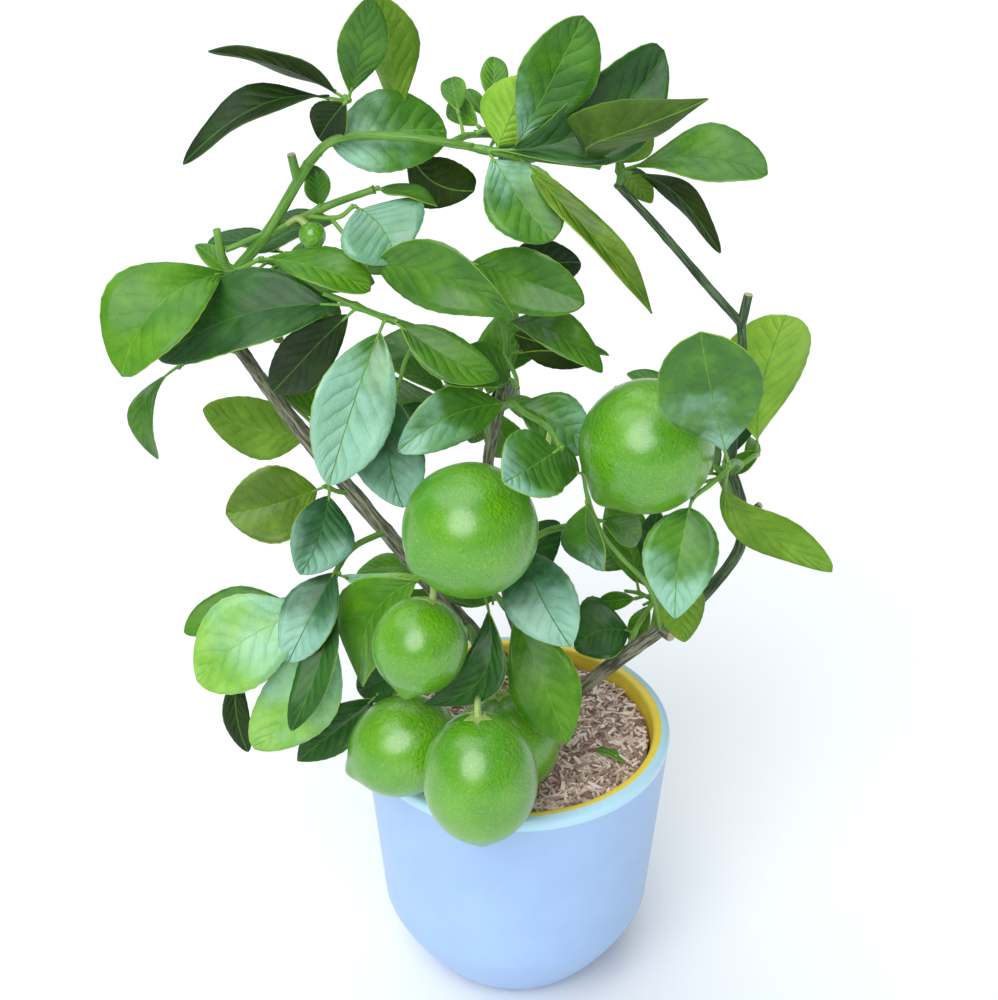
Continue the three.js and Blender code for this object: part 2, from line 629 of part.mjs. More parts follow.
const glaze = new THREE.MeshStandardMaterial({ color: 0xa9cdf4, roughness: 0.45, metalness: 0 });
const earth = new THREE.MeshStandardMaterial({ color: 0x7d5b50, roughness: 0.95, metalness: 0 });
const bark = new THREE.MeshStandardMaterial({ color: 0x6d6f52, roughness: 0.85, metalness: 0 });
const greenStem = new THREE.MeshStandardMaterial({ color: 0x4f8a35, roughness: 0.6, metalness: 0 });
const foliage = new THREE.MeshStandardMaterial({ color: 0x3c7d2c, roughness: 0.4, metalness: 0 });

const plant = new THREE.Group();
plant.name = "meyer_lemon_tree";
plant.add(meshFrom("pot", potSolid(), glaze));
plant.add(meshFrom("soil", soilSolid(), earth));

const limbs = [TRUNK, ...BOUGHS];
const taken = limbs.flatMap(limbTaken);
for (const mass of FRONT_MASSES) taken.push(...massTaken(mass));
const masses = [...FRONT_MASSES];
for (const row of BACK_MASSES) {
  const mass = grownMass(row, taken);
  taken.push(...massTaken(mass));
  masses.push(mass);
}

let grown = null; // the limbs so far, each larger by the gap
for (const each of limbs) {
  const whole = limbSolid(each).trimByPlane([0, 0, 1], SOIL_TOP + GAP);
  const solid = grown ? largestBody(whole.subtract(grown)) : whole;
  plant.add(meshFrom(each.name, solid, (each.barked ? bark : greenStem).clone()));
  const larger = limbSolid(each, GAP);
  grown = grown ? grown.add(larger) : larger;
}
for (const mass of masses) plant.add(meshFrom(mass.name, massSolid(mass, grown), foliage.clone()));

export default plant;
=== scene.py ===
# %% [markdown]
# # A potted meyer lemon tree
# A young lemon tree in a pale blue pot: a thin trunk, boughs bent into an arch, glossy leaves and seven
# green fruit. The imported model holds plain solids of all of it. This lesson dresses them: each step says what
# a piece is on the real plant, then grows or turns it at the same place.
#
# The imported model is loaded first and never changed.

# %% Load the imported model
import math

import bmesh
import bpy
import numpy as np
from mathutils import Matrix, Quaternion, Vector, noise


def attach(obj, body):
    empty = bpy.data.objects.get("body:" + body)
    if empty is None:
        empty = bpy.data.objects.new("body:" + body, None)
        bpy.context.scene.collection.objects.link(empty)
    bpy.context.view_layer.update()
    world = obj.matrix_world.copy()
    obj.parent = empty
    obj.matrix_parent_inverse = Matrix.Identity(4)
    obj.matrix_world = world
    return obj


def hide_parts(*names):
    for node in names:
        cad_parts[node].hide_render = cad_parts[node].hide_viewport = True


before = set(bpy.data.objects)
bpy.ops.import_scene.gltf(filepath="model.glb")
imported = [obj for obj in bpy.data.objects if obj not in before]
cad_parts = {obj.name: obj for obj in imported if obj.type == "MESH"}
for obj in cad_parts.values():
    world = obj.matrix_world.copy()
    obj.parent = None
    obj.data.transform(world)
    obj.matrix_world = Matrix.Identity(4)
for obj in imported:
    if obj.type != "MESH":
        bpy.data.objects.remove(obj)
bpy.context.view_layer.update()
print("nodes in the packed model:", len(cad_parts))

# %% [markdown]
# ## Camera
# The photograph looks down at the pot from about arm's length. A camera's angle comes from its place and
# turn, and its crop from the lens: 68 mm on a 36 mm wide sensor is the narrow view of a phone held at 1.3 m.

# %% Camera
view = bpy.data.cameras.new("camera")
view.lens = 68.4
view.sensor_width = 36
camera = bpy.data.objects.new("camera", view)
camera.location = (-0.0113, -0.974, 0.926)
camera.rotation_euler = (math.radians(59.4), 0, 0)
bpy.context.scene.collection.objects.link(camera)
bpy.context.scene.camera = camera
print("camera at", [round(value, 3) for value in camera.location])

# %% [markdown]
# ## Floor and light
# Waxy leaves show what they mirror, so the light matters as much as the colour. A sun lamp with a wide angle
# is as soft as a bright sky. The key comes from above the camera and a little left, and gives each fruit its
# round highlight. A cooler one from above and behind lays a bluish sheen on leaves that face up, and a pale
# world opens the shadows. The Standard view keeps the greens as strong as a phone shows them.

# %% Floor and light
WHITE_FLOOR = (0.86, 0.87, 0.88, 1)
PALE_SKY = (0.9, 0.96, 1, 1)
CROWN_MIDDLE = (0, 0, 0.35)


def soft_sun(name, place, spread, strength, colour):
    lamp = bpy.data.lights.new(name, "SUN")
    lamp.angle = math.radians(spread)
    lamp.energy = strength
    lamp.color = colour
    holder = bpy.data.objects.new(name, lamp)
    toward = Vector(CROWN_MIDDLE) - Vector(place)
    holder.rotation_euler = toward.to_track_quat("-Z", "Y").to_euler()
    bpy.context.scene.collection.objects.link(holder)


soft_sun("key", (-0.5, -1.5, 1.9), 48, 2.5, (0.98, 0.99, 1))
soft_sun("top", (-0.5, 0.5, 2.2), 70, 1.8, (0.92, 0.97, 1))

world = bpy.data.worlds.new("sky")
world.use_nodes = True
background = world.node_tree.nodes["Background"]
background.inputs["Color"].default_value = PALE_SKY
background.inputs["Strength"].default_value = 0.25
bpy.context.scene.world = world
bpy.context.scene.view_settings.view_transform = "Standard"

floor_shape = bmesh.new()
bmesh.ops.create_grid(floor_shape, x_segments=4, y_segments=4, size=80)
floor_mesh = bpy.data.meshes.new("floor")
floor_shape.to_mesh(floor_mesh)
floor_shape.free()
floor = bpy.data.objects.new("floor", floor_mesh)
bpy.context.scene.collection.objects.link(floor)
floor_paint = bpy.data.materials.new("floor_paint")
floor_paint.use_nodes = True
floor_shader = floor_paint.node_tree.nodes["Principled BSDF"]
floor_shader.inputs["Base Color"].default_value = WHITE_FLOOR
floor_shader.inputs["Roughness"].default_value = 0.9
floor_mesh.materials.append(floor_paint)

# %% [markdown]
# ## The plan of the plant
# Every limb, twig, leaf and fruit is one row. Lengths are millimetres and angles degrees, because a plant's
# sizes read best that way, and each mesh is scaled to metres as it is finished. A heading is a clock angle as
# seen from the front, 0 up and 90 to the right, and a lean toward the viewer. A leaf's face says how far its
# upper side looks up: 0 is level to the front, 90 straight up, and past 120 the front sees its underside.
# Its tone is the name of a green. Most tones are the leaf's own colour, but shade is painted shade, dark is a
# deep green that is partly painted shade, and the dark bluish tone, pale and the sheen tones carry a painted
# sheen. Crest is where along the blade it is widest, and a small tip value makes its end blunt.

# %% Rows of the plan
MM = 0.001
SOIL_TOP = 171


def limb(name, route, radii, stubs=(), flare=0, bark="green"):
    return dict(name=name, route=route, radii=radii, stubs=stubs, flare=flare, bark=bark)


def stub(at, clock, lean, long, radius):
    return dict(at=at, clock=clock, lean=lean, long=long, radius=radius)


def leaf(at, clock, lean, long, wide, face, arch=0.08, fold=16, sweep=0, bank=0, **looks):
    shape = dict(arch=arch, fold=fold, sweep=sweep, bank=bank)
    finish = {"tone": "mid", "under": "olive", "crest": 0.5, "tip": 0.62, **looks}
    return dict(at=at, clock=clock, lean=lean, long=long, wide=wide, face=face, **shape, **finish)


def fruit(at, middle, wide, long, clock, lean):
    return dict(at=at, middle=middle, wide=wide, long=long, clock=clock, lean=lean)


def twig(route, radii, leaves, fruits=()):
    return dict(route=route, radii=radii, leaves=leaves, fruits=fruits)


# %% Trunk and boughs
LIMBS = [
    limb("trunk", [(20, 11, 168), (22, 10, 179), (26, 8, 191), (27, 6, 203)], (9, 7.5),
         flare=0.55, bark="old"),
    limb("bough_left_low", [(25, 7, 194), (-23, -5, 252), (-70, -8, 320), (-127, 0, 397), (-160, 5, 448)],
         (5.8, 3.6), bark="old"),
    limb("bough_left_high", [(-159, 5, 446), (-166, 4, 472), (-158, 0, 497), (-139, -3, 521), (-114, 0, 561)],
         (3.6, 2.8), [stub(0.94, 350, 5, 16, 2.6), stub(0.76, 246, 0, 26, 1.8)]),
    limb("bough_arch", [(-115, 0, 560), (-98, -1, 575), (-64, -3, 577), (-25, 0, 570)], (2.6, 2.2)),
    limb("bough_right_low", [(31, 5, 198), (65, 0, 235), (93, -5, 264)], (4.8, 4.2),
         [stub(0.93, 95, 50, 9, 4.2)], bark="old"),
    limb("bough_right_middle", [(92, -5, 262), (115, 0, 283), (134, 0, 316), (133, 0, 348), (125, 0, 372)],
         (3.8, 3), [stub(0.66, 40, 10, 15, 2.2)], bark="dark"),
    limb("bough_right_high", [(125, 0, 370), (126, 0, 418), (127, 0, 448), (125, 0, 468)], (3, 2.6),
         [stub(0.93, 8, 0, 20, 2.8)], bark="dark"),
    limb("bough_right_top", [(125, 0, 466), (102, 5, 491), (75, 9, 522), (53, 9, 546)], (2.6, 2.1),
         bark="dark"),
    limb("bough_middle",
         [(26, 8, 199), (3, 15, 238), (-10, 15, 298), (-18, 10, 363), (-11, 6, 410), (-7, 6, 438)],
         (4.4, 3), bark="old"),
]
print("limbs:", len(LIMBS))

# %% Twigs, leaves and fruit that are seen from the front
FRONT_MASSES = {
    "foliage_top_left": [
        twig([(-117, 3, 556), (-97, 11, 573), (-62, 17, 569)], (2, 1.3), [
            leaf(0.26, 85, -9, 69, 45, 27, arch=0.09, fold=10, sweep=-0.04, bank=-2,
                 tone="sheen_base", crest=0.46, tip=0.45),
            leaf(0.96, 352, 6, 82, 30, 206, bank=-16, fold=24, crest=0.6, tip=0.55),
            leaf(1, 136, -20, 56, 31, 199, arch=0.02, sweep=-0.18, bank=-5,
                 under="shade", crest=0.62, tip=0.45),
        ]),
        twig([(-109, 8, 562), (-100, 13, 579), (-94, 4, 592), (-91, -2, 597)], (1.6, 1.2), [
            leaf(1, 14, 8, 59, 26, 25, bank=18, fold=10, crest=0.56),
            leaf(0.95, 295, 13, 78, 22, 109, arch=0.07, bank=15, under="shade", tip=0.85),
            leaf(0.85, 255, 21, 93, 27, 85, arch=0.19, sweep=-0.02, bank=-2,
                 tone="shade", under="shade", tip=0.7),
            leaf(1, 215, -17, 32, 23, 19, arch=0, sweep=0.03, bank=6, tone="shade"),
        ]),
    ],
    "foliage_top_middle": [
        twig([(-27, 0, 570), (-3, -2, 566), (29, -3, 562), (43, 3, 558)], (2.2, 1.6), [
            leaf(0.31, 25, 8, 88, 41, 19, arch=0.06, sweep=-0.01, bank=18,
                 tone="sheen_base", crest=0.62, tip=0.55),
            leaf(0.09, 63, -8, 110, 45, 23, arch=0.1, fold=28, sweep=0.16, bank=3,
                 tone="dark", crest=0.62, tip=0.5),
            leaf(1, 36, 45, 114, 37, 182, arch=-0.15, fold=24, sweep=0.22, bank=4,
                 under="moss", tip=0.85),
            leaf(0.2, 25, -22, 44, 36, 203, under="pale"),
            leaf(0.14, 135, 38, 63, 41, 27, fold=8, sweep=0.05, bank=-17,
                 tone="sheen_base", crest=0.55, tip=0.5),
            leaf(0.35, 134, 27, 112, 17, 55, arch=0.2, fold=30, sweep=0.06, bank=2,
                 tone="olive", tip=0.9),
        ]),
    ],
    "foliage_top_right": [
        twig([(54, 9, 543), (55, 9, 553), (52, 8, 566)], (2, 1.5), [
            leaf(0.5, 80, 27, 85, 37, 55, sweep=-0.06, crest=0.6, tip=0.5),
            leaf(0.6, 32, -27, 30, 22, 214),
            leaf(0.55, 145, -32, 40, 16, 189),
            leaf(0.5, 132, -8, 80, 17, 110, arch=0.18, bank=-25, tone="shade", under="shade"),
        ]),
    ],
    "foliage_arch_left": [
        twig([(-137, -3, 522), (-104, 2, 536), (-79, 0, 546)], (2.4, 2), [
            leaf(1, 101, 12, 36, 16, 78, tip=0.8),
            leaf(0.42, 352, -12, 24, 14, 36, fold=30),
        ], [fruit(0.12, (-113, -9, 523), 15, 15, 150, 20)]),
        twig([(-117, 0, 530), (-99, -8, 533), (-90, -9, 540)], (1.6, 1.2), [
            leaf(1, 132, 37, 41, 52, 43, arch=0.11, fold=8, sweep=-0.08, bank=-16, tone="sheen"),
        ]),
        twig([(-103, -6, 532), (-92, -18, 523), (-83, -27, 514)], (1.3, 1.1), [
            leaf(1, 100, 25, 89, 37, 21, arch=0.07, sweep=-0.12, bank=19, crest=0.42, tip=0.8),
        ]),
    ],
    "foliage_left": [
        twig([(-157, 1, 498), (-156, -7, 501), (-142, -11, 510)], (1.8, 1.2), [
            leaf(0.5, 237, 38, 88, 56, 47, arch=0.21, sweep=0.07, bank=2,
                 tone="bright", crest=0.58, tip=0.5),
            leaf(1, 97, 22, 67, 26, 52, arch=0.12, bank=-2, tone="bright", crest=0.6, tip=0.5),
        ]),
        twig([(-156, -3, 499), (-163, -4, 505), (-166, -3, 524)], (2.4, 2.2), []),
    ],
    "foliage_left_bend": [
        twig([(-156, 8, 440), (-166, 10, 444), (-180, 4, 447), (-192, -4, 442)], (1.6, 1.2), [
            leaf(1, 197, 9, 60, 16, 63, arch=0.21, sweep=0.18, bank=1, crest=0.6, tip=0.8),
        ]),
        twig([(-161, 10, 443), (-145, 18, 418), (-116, 9, 392)], (1.4, 1.1), [
            leaf(1, 275, -12, 73, 36, 205, sweep=0.09, bank=3),
            leaf(0.55, 110, -15, 50, 28, 30),
        ]),
    ],
    "foliage_left_middle": [
        twig([(-98, -2, 356), (-106, -12, 363), (-112, -18, 370)], (1.7, 1.3), [
            leaf(1, 261, 16, 60, 44, 40, fold=26, sweep=-0.04, bank=-6, tone="olive"),
            leaf(0.84, 203, 42, 54, 39, 11, arch=0.1, sweep=-0.03, bank=-19, tone="dark_sheen"),
        ]),
    ],
    "foliage_left_low": [
        twig([(-79, -8, 333), (-97, -28, 334), (-107, -40, 323), (-109, -46, 304), (-119, -46, 275),
              (-133, -40, 252), (-152, -30, 252), (-169, -25, 250)], (2, 1.1), [
            leaf(0.36, 200, 34, 85, 23, 53, arch=0.06, sweep=-0.07, bank=8, tone="dark"),
            leaf(0.23, 213, 32, 65, 34, 38, arch=0.07, sweep=-0.01, bank=18, tone="dark_sheen"),
            leaf(0.43, 246, 16, 90, 54, 31, fold=8, sweep=0.09, bank=5, tone="pale", crest=0.58, tip=0.6),
            leaf(0.45, 210, 14, 98, 45, 29, arch=0.07, fold=8, sweep=-0.09, bank=-7, tone="pale"),
            leaf(1, 178, 14, 60, 16, 71, arch=0.09, sweep=0.08, bank=4, tone="shade"),
            leaf(0.28, 102, -13, 52, 13, 43, arch=-0.05, sweep=0.09, tone="pale"),
        ]),
        twig([(-109, -45, 304), (-122, -34, 302), (-134, -25, 297)], (1.4, 1.1), [
            leaf(1, 255, 9, 69, 31, 73, bank=4, tone="mid", crest=0.56),
        ]),
    ],
    "foliage_low_front": [
        twig([(-51, -8, 294), (-49, -38, 320), (-54, -66, 339)], (2, 1.4), [
            leaf(0.8, 209, 5, 84, 48, 42, sweep=0.18, bank=22, tone="bright", tip=0.75),
            leaf(0.35, 96, 26, 38, 20, 40),
        ], [fruit(1, (-56, -92, 309), 54, 56, 197, 20)]),
        twig([(-49, -36, 319), (-37, -48, 323), (-20, -57, 321)], (1.4, 1.2), [
            leaf(1, 212, 24, 74, 26, 69, sweep=-0.33, bank=-2, tone="dark", tip=0.8),
        ]),
    ],
    "fruit_trio": [
        twig([(-31, -6, 264), (-27, -40, 280), (-24, -70, 279), (-23, -92, 273)], (2.2, 1.8), [], [
            fruit(0.9, (-68, -74, 224), 60, 68, 246, 10),
            fruit(1, (-22, -122, 238), 66, 78, 178, 12),
            fruit(0.6, (-3, -48, 208), 58, 64, 165, 10),
        ]),
        twig([(-28, -34, 279), (-56, -40, 266), (-83, -44, 241)], (1.5, 1.1), [
            leaf(1, 233, 16, 66, 27, 39, sweep=-0.02, bank=-1, tone="dark", tip=0.8),
            leaf(0.7, 238, -5, 36, 24, 30, tone="dark"),
        ]),
    ],
    "foliage_middle_left": [
        twig([(-10, 5, 422), (-36, -12, 456), (-57, -26, 475), (-75, -34, 486), (-106, -38, 502)],
             (2.4, 1.6), [
            leaf(0.87, 252, -4, 117, 48, 48, arch=0.11, sweep=0.05, bank=4,
                 tone="dark", crest=0.48, tip=0.7),
            leaf(0.73, 201, 24, 97, 46, 12, arch=0.07, sweep=0.03, bank=-9, tone="sheen_middle", tip=0.7),
            leaf(0.68, 115, 15, 66, 26, 48, arch=0.07, sweep=0.07, tip=0.75),
            leaf(0.86, 220, -13, 82, 30, 26, arch=0.06, sweep=0.01, tone="shade"),
        ]),
        twig([(-53, -23, 472), (-63, -20, 454), (-68, -22, 436)], (1.4, 1.2), [
            leaf(1, 178, 22, 68, 40, 25, sweep=0.1, tone="dark_sheen"),
        ]),
    ],
    "foliage_middle_top": [
        twig([(-7, 6, 436), (-8, 6, 460), (-19, 0, 488), (-31, -10, 509)], (2.4, 1.5), [
            leaf(1, 99, 28, 75, 35, 21, arch=0.07, sweep=-0.03, bank=13, crest=0.5, tip=0.55),
            leaf(0.4, 105, 32, 68, 25, 61, arch=0.2),
            leaf(0.3, 104, 10, 54, 26, 205, under="shade"),
            leaf(0.7, 90, -28, 63, 28, 34, arch=0.09, sweep=-0.04, bank=-1, tone="shade"),
            leaf(0.1, 97, -14, 62, 20, 84),
        ]),
        twig([(-8, 4, 444), (-2, -10, 438), (-1, -22, 436)], (1.4, 1.2), [
            leaf(1, 297, 35, 55, 27, 41, sweep=0.17),
        ]),
    ],
    "foliage_middle": [
        twig([(-11, 6, 408), (-4, -18, 424), (4, -30, 424), (15, -56, 430), (22, -80, 430)], (2.4, 1.6), [
            leaf(0.25, 261, 30, 74, 32, 31, sweep=0.1, bank=-8, tone="sheen_tip"),
            leaf(0.21, 117, 12, 53, 33, 33, arch=0.09, sweep=-0.07, bank=-6, tone="sheen_tip"),
            leaf(1, 282, 57, 58, 40, 31, arch=-0.01, sweep=-0.01, bank=3, tone="sheen_tip"),
        ], [fruit(0.8, (-27, -90, 384), 75, 75, 255, 38)]),
    ],
    "foliage_middle_low": [
        twig([(-11, 15, 300), (-2, -16, 320), (2, -45, 351)], (2, 1.4), [
            leaf(1, 148, 42, 69, 42, 11, arch=0.09, sweep=0.04, bank=5, tone="dark_sheen", crest=0.52, tip=0.7),
        ]),
        twig([(-4, -8, 312), (-5, -22, 304), (-6, -33, 298)], (1.4, 1.2), [
            leaf(1, 153, 31, 90, 42, 31, fold=8, sweep=-0.02, bank=-1,
                 tone="bright", crest=0.56, tip=0.8),
        ]),
        twig([(-3, -8, 313), (14, -17, 337), (36, -24, 348)], (2, 1.9), []),
    ],
    "foliage_middle_right": [
        twig([(89, -6, 260), (79, -20, 300), (60, -30, 329), (48, -36, 350), (39, -38, 376),
              (36, -34, 396)], (1.7, 1.1), [
            leaf(0.78, 168, 13, 45, 35, 30, arch=0.12, sweep=0.04, bank=46, tone="sheen_tip"),
            leaf(0.67, 133, -22, 39, 18, 32, arch=0.11, sweep=-0.09, bank=-1),
            leaf(0.92, 292, 10, 36, 26, 30),
        ]),
    ],
    "foliage_right": [
        twig([(125, 2, 366), (129, -14, 382), (121, -42, 400), (115, -68, 412)], (2.2, 1.6), [
            leaf(1, 346, 20, 108, 55, 30, arch=0.02, sweep=-0.01, bank=-6,
                 tone="sheen_base", crest=0.64, tip=0.42),
            leaf(0.93, 140, -6, 101, 28, 186, arch=0.22, fold=12, sweep=-0.21, bank=-3,
                 crest=0.66, tip=0.6),
        ]),
        twig([(122, -40, 398), (109, -50, 391), (97, -58, 386)], (1.6, 1.3), [
            leaf(1, 189, 28, 69, 42, 26, sweep=0.04, bank=2, tone="sheen_tip", crest=0.4, tip=0.8),
        ]),
        twig([(129, -13, 381), (138, -2, 381), (142, 9, 376)], (1.6, 1.3), [
            leaf(1, 7, -4, 89, 53, 196, arch=0.09, sweep=0.03, bank=17,
                 under="pale", crest=0.56, tip=0.5),
        ]),
    ],
    "fruit_right": [
        twig([(126, -2, 446), (116, -20, 462), (103, -40, 463)], (2, 1.7), [], [
            fruit(1, (71, -48, 413), 75, 77, 222, 12),
        ]),
    ],
    "foliage_right_low": [
        twig([(69, 3, 238), (77, 12, 254), (94, 4, 290), (102, -26, 317)], (1.8, 1.3), [
            leaf(0.22, 260, 11, 39, 44, 48, arch=0.13, sweep=0.13, bank=6, tone="dark"),
            leaf(1, 184, 20, 44, 28, 199, sweep=-0.03, bank=-3),
            leaf(0.6, 150, -10, 30, 22, 60),
        ]),
    ],
}
print("front masses:", len(FRONT_MASSES))

# %% Stems and spaces of the far side
# Each mass has its stem's route, the middle and the reach of its space, how many twigs are tried, and a
# seed each for its twigs and its finer shoots.
BACK_MASSES = {
    "foliage_back_left": (
        [(-161, 2, 484), (-152, 26, 484), (-132, 46, 480)], (-134, 44, 470), (66, 44, 52), 14, 2780, 583,
    ),
    "foliage_back_middle": (
        [(-16, 10, 388), (-24, 36, 392), (-34, 58, 396)], (-34, 58, 400), (84, 54, 60), 16, 1855, 583,
    ),
    "foliage_back_right": (
        [(133, 2, 340), (124, 26, 352), (106, 44, 366)], (100, 46, 380), (62, 48, 66), 14, 4038, 106,
    ),
    "foliage_back_low": (
        [(-6, 16, 262), (-18, 38, 262), (-40, 54, 266)], (-42, 54, 274), (80, 52, 56), 16, 1559, 1219,
    ),
    "foliage_back_low_right": (
        [(84, -1, 255), (88, 24, 260), (86, 44, 266)], (76, 50, 270), (58, 52, 54), 14, 301, 954,
    ),
    "foliage_back_top": (
        [(-36, -1, 573), (-27, 16, 571), (-8, 40, 562)], (-12, 44, 560), (76, 46, 50), 14, 3631, 106,
    ),
}
print("back masses:", len(BACK_MASSES))

# %% [markdown]
# ## Curves and leaf frames
# A twig is a smooth curve through its route's points. A Catmull-Rom curve passes through each of them, so a
# leaf placed at a share of the route stays on the twig. A leaf's frame is three directions: along to its tip,
# up out of its upper side, and across. Its points come from one small formula, which places both the fine mesh
# of each leaf and the samples that the rule for free space tests.

# %% Curves
def smooth_point(route, share):
    points = [np.array(point, float) for point in route]
    points = [2 * points[0] - points[1], *points, 2 * points[-1] - points[-2]]
    steps = len(route) - 1
    first = min(int(share * steps), steps - 1)
    t = share * steps - first
    before, start, end, after = points[first:first + 4]
    turn_in = (end - before) / 2
    turn_out = (after - start) / 2
    bend = 3 * (end - start) - 2 * turn_in - turn_out
    return start + turn_in * t + bend * t**2 + (2 * (start - end) + turn_in + turn_out) * t**3


def smooth_tangent(route, share):
    near = smooth_point(route, max(0, share - 0.0001))
    far = smooth_point(route, min(1, share + 0.0001))
    return (far - near) / np.linalg.norm(far - near)


def route_length(route):
    points = [smooth_point(route, step / 40) for step in range(41)]
    return sum(np.linalg.norm(after - before) for before, after in zip(points, points[1:]))


def heading(clock, lean):
    clock, lean = math.radians(clock), math.radians(lean)
    return np.array([math.sin(clock) * math.cos(lean), -math.sin(lean), math.cos(clock) * math.cos(lean)])


lengths = {row["name"]: round(route_length(row["route"])) for row in LIMBS}
print("limbs in mm:", lengths)

# %% Leaf shape
# half_width is the source's outline, which the rule for free space uses, and fine_half_width the dressed
# leaf's.
STALK_SHARE = 0.12
STALK_WIDTH = 2.2


def half_width(wide, share):
    blade = (share - STALK_SHARE) / (1 - STALK_SHARE)
    swell = math.sin(math.pi * min(blade, 0.985) ** 0.95) ** 0.62 if blade > 0 else 0
    return max(STALK_WIDTH / 2, wide / 2 * swell)


def fine_half_width(row, blade):
    share = blade ** (math.log(0.5) / math.log(row["crest"]))
    point = 0.8 if share < 0.5 else row["tip"]
    return max(0.3, row["wide"] / 2 * math.sin(math.pi * min(share, 1)) ** point)


def leaf_frame(route, row):
    along = heading(row["clock"], row["lean"])
    face = math.radians(row["face"])
    facing = np.array([0, -math.cos(face), math.sin(face)])
    up = facing - along * facing.dot(along)
    up = Vector(up / np.linalg.norm(up))
    up.rotate(Quaternion(Vector(along), math.radians(row["bank"])))
    up = np.array(up)
    return smooth_point(route, row["at"]), along, up, np.cross(along, up)


def leaf_point(placed, row, share, edge, half):
    foot, along, up, across = placed
    bow = 4 * share * (1 - share)
    rise = row["long"] * row["arch"] * bow + abs(edge) * half * math.tan(math.radians(row["fold"]))
    aside = row["long"] * row["sweep"] * bow + edge * half
    return foot + along * row["long"] * share + up * rise + across * aside


print("half widths of a 40 mm leaf:", [round(half_width(40, share / 4), 1) for share in range(5)])

# %% [markdown]
# ## The rule for the far side
# Leaves on the far side can't be copied from a photograph, so they grow by a rule. A stem reaches out from a
# limb. Twigs leave it a golden angle apart, as buds do on a real shoot, each with a leaf at its tip and one
# on each side. A leaf is kept only where it stays inside the mass's own space and clear of all that has
# grown. The numbers are drawn from a fixed seed, so the same crown grows every time. Then the rule is carried
# on: from each kept twig grow finer shoots, with smaller and younger leaves.

# %% Growth rule
CLEAR = 8.5  # least distance from a sample point of a new leaf to one of another mass
OWN_CLEAR = 7  # the same within one mass
LIMB_CLEAR = 4  # least distance from a limb's bark
GOLDEN_ANGLE = 137.5
SAMPLE_SHARES = (0.14, 0.26, 0.38, 0.5, 0.62, 0.74, 0.87, 1)
SAMPLE_EDGES = (-1, -0.6, -0.2, 0.2, 0.6, 1)


MULTIPLIER = 16807
MODULUS = 2147483647


def numbers_from(seed):
    state = seed
    while True:
        state = state * MULTIPLIER % MODULUS
        yield state / MODULUS


def between(low, high, share):
    return low + (high - low) * share


def leaf_samples(route, row):
    placed = leaf_frame(route, row)
    halves = {share: half_width(row["wide"], share) for share in SAMPLE_SHARES}
    return [
        leaf_point(placed, row, share, edge, halves[share])
        for share in SAMPLE_SHARES
        for edge in SAMPLE_EDGES
    ]


def curve_samples(route, count):
    return [smooth_point(route, step / count) for step in range(count + 1)]


def with_clearance(points, clear):
    return np.array([[*point, clear] for point in points]).reshape(-1, 4)


def limb_taken(row):
    return with_clearance(curve_samples(row["route"], 40), row["radii"][0] + LIMB_CLEAR)


def mass_taken(twigs):
    rows = []
    for each in twigs:
        points = curve_samples(each["route"], 12)
        for row in each["leaves"]:
            points += leaf_samples(each["route"], row)
        rows.append(with_clearance(points, CLEAR))
        for row in each["fruits"]:
            rows.append(with_clearance([row["middle"]], row["long"] / 2 + CLEAR))
    return np.concatenate(rows)


def are_free(points, middle, reach, taken):
    points = np.array(points)
    if (np.linalg.norm((points - middle) / reach, axis=1) >= 1).any():
        return False
    distances = np.linalg.norm(points[:, None, :] - taken[None, :, :3], axis=2)
    return bool((distances > taken[None, :, 3]).all())


def keep_free_leaves(route, leaves, middle, reach, taken, own):
    kept = []
    for row in leaves:
        points = leaf_samples(route, row)
        if are_free(points, middle, reach, np.concatenate([taken, *own])):
            own.append(with_clearance(points, OWN_CLEAR))
            kept.append(row)
    return kept


def grown_mass(stem, middle, reach, tries, seed, taken):
    random = numbers_from(seed)
    twigs = [twig(stem, (2.2, 1.4), [])]
    own = []
    for count in range(tries):
        at = between(0.4, 1, (count + 1) / tries)
        clock = GOLDEN_ANGLE * count + 40 * next(random)
        lean = between(-65, 25, next(random))
        start = smooth_point(stem, at)
        tip = start + heading(clock, lean) * between(10, 22, next(random))
        elbow = (start + tip) / 2 + np.array([0, 0, 2])
        route = [tuple(start), tuple(elbow), tuple(tip)]
        leaves = []
        for place, turn in ((1, 0), (0.55, 70), (0.55, -70)):
            long = between(46, 78, next(random))
            wide = long * between(0.38, 0.52, next(random))
            face = between(15, 75, next(random))
            bank = between(-30, 30, next(random))
            leaves.append(leaf(place, clock + turn, lean - 10, long, wide, face, arch=0.12, bank=bank))
        if not are_free(curve_samples(route, 3), middle, reach, taken):
            continue
        kept = keep_free_leaves(route, leaves, middle, reach, taken, own)
        if kept:
            twigs.append(twig(route, (1.5, 1.1), kept))
    return twigs


FINE_TRIES = 5
FINE_LONG = (22, 42)


def finer_shoots(twigs, middle, reach, seed, taken):
    random = numbers_from(seed)
    own = [
        with_clearance(leaf_samples(each["route"], row), OWN_CLEAR)
        for each in twigs
        for row in each["leaves"]
    ]
    shoots = []
    for parent in twigs:
        for count in range(FINE_TRIES):
            at = between(0.35, 1, next(random))
            clock = GOLDEN_ANGLE * count + 360 * next(random)
            lean = between(-70, 30, next(random))
            start = smooth_point(parent["route"], at)
            tip = start + heading(clock, lean) * between(8, 20, next(random))
            route = [tuple(start), tuple((start + tip) / 2 + np.array([0, 0, 1])), tuple(tip)]
            leaves = []
            for place, turn in ((1, 0), (0.6, 60), (0.45, -60)):
                long = between(*FINE_LONG, next(random))
                face = between(10, 80, next(random))
                wide = long * 0.44
                leaves.append(leaf(place, clock + turn, lean - 5, long, wide, face, arch=0.1, tone="bright"))
            kept = keep_free_leaves(route, leaves, middle, reach, taken, own)
            if kept:
                shoots.append(twig(route, (1.1, 0.8), kept))
    return shoots


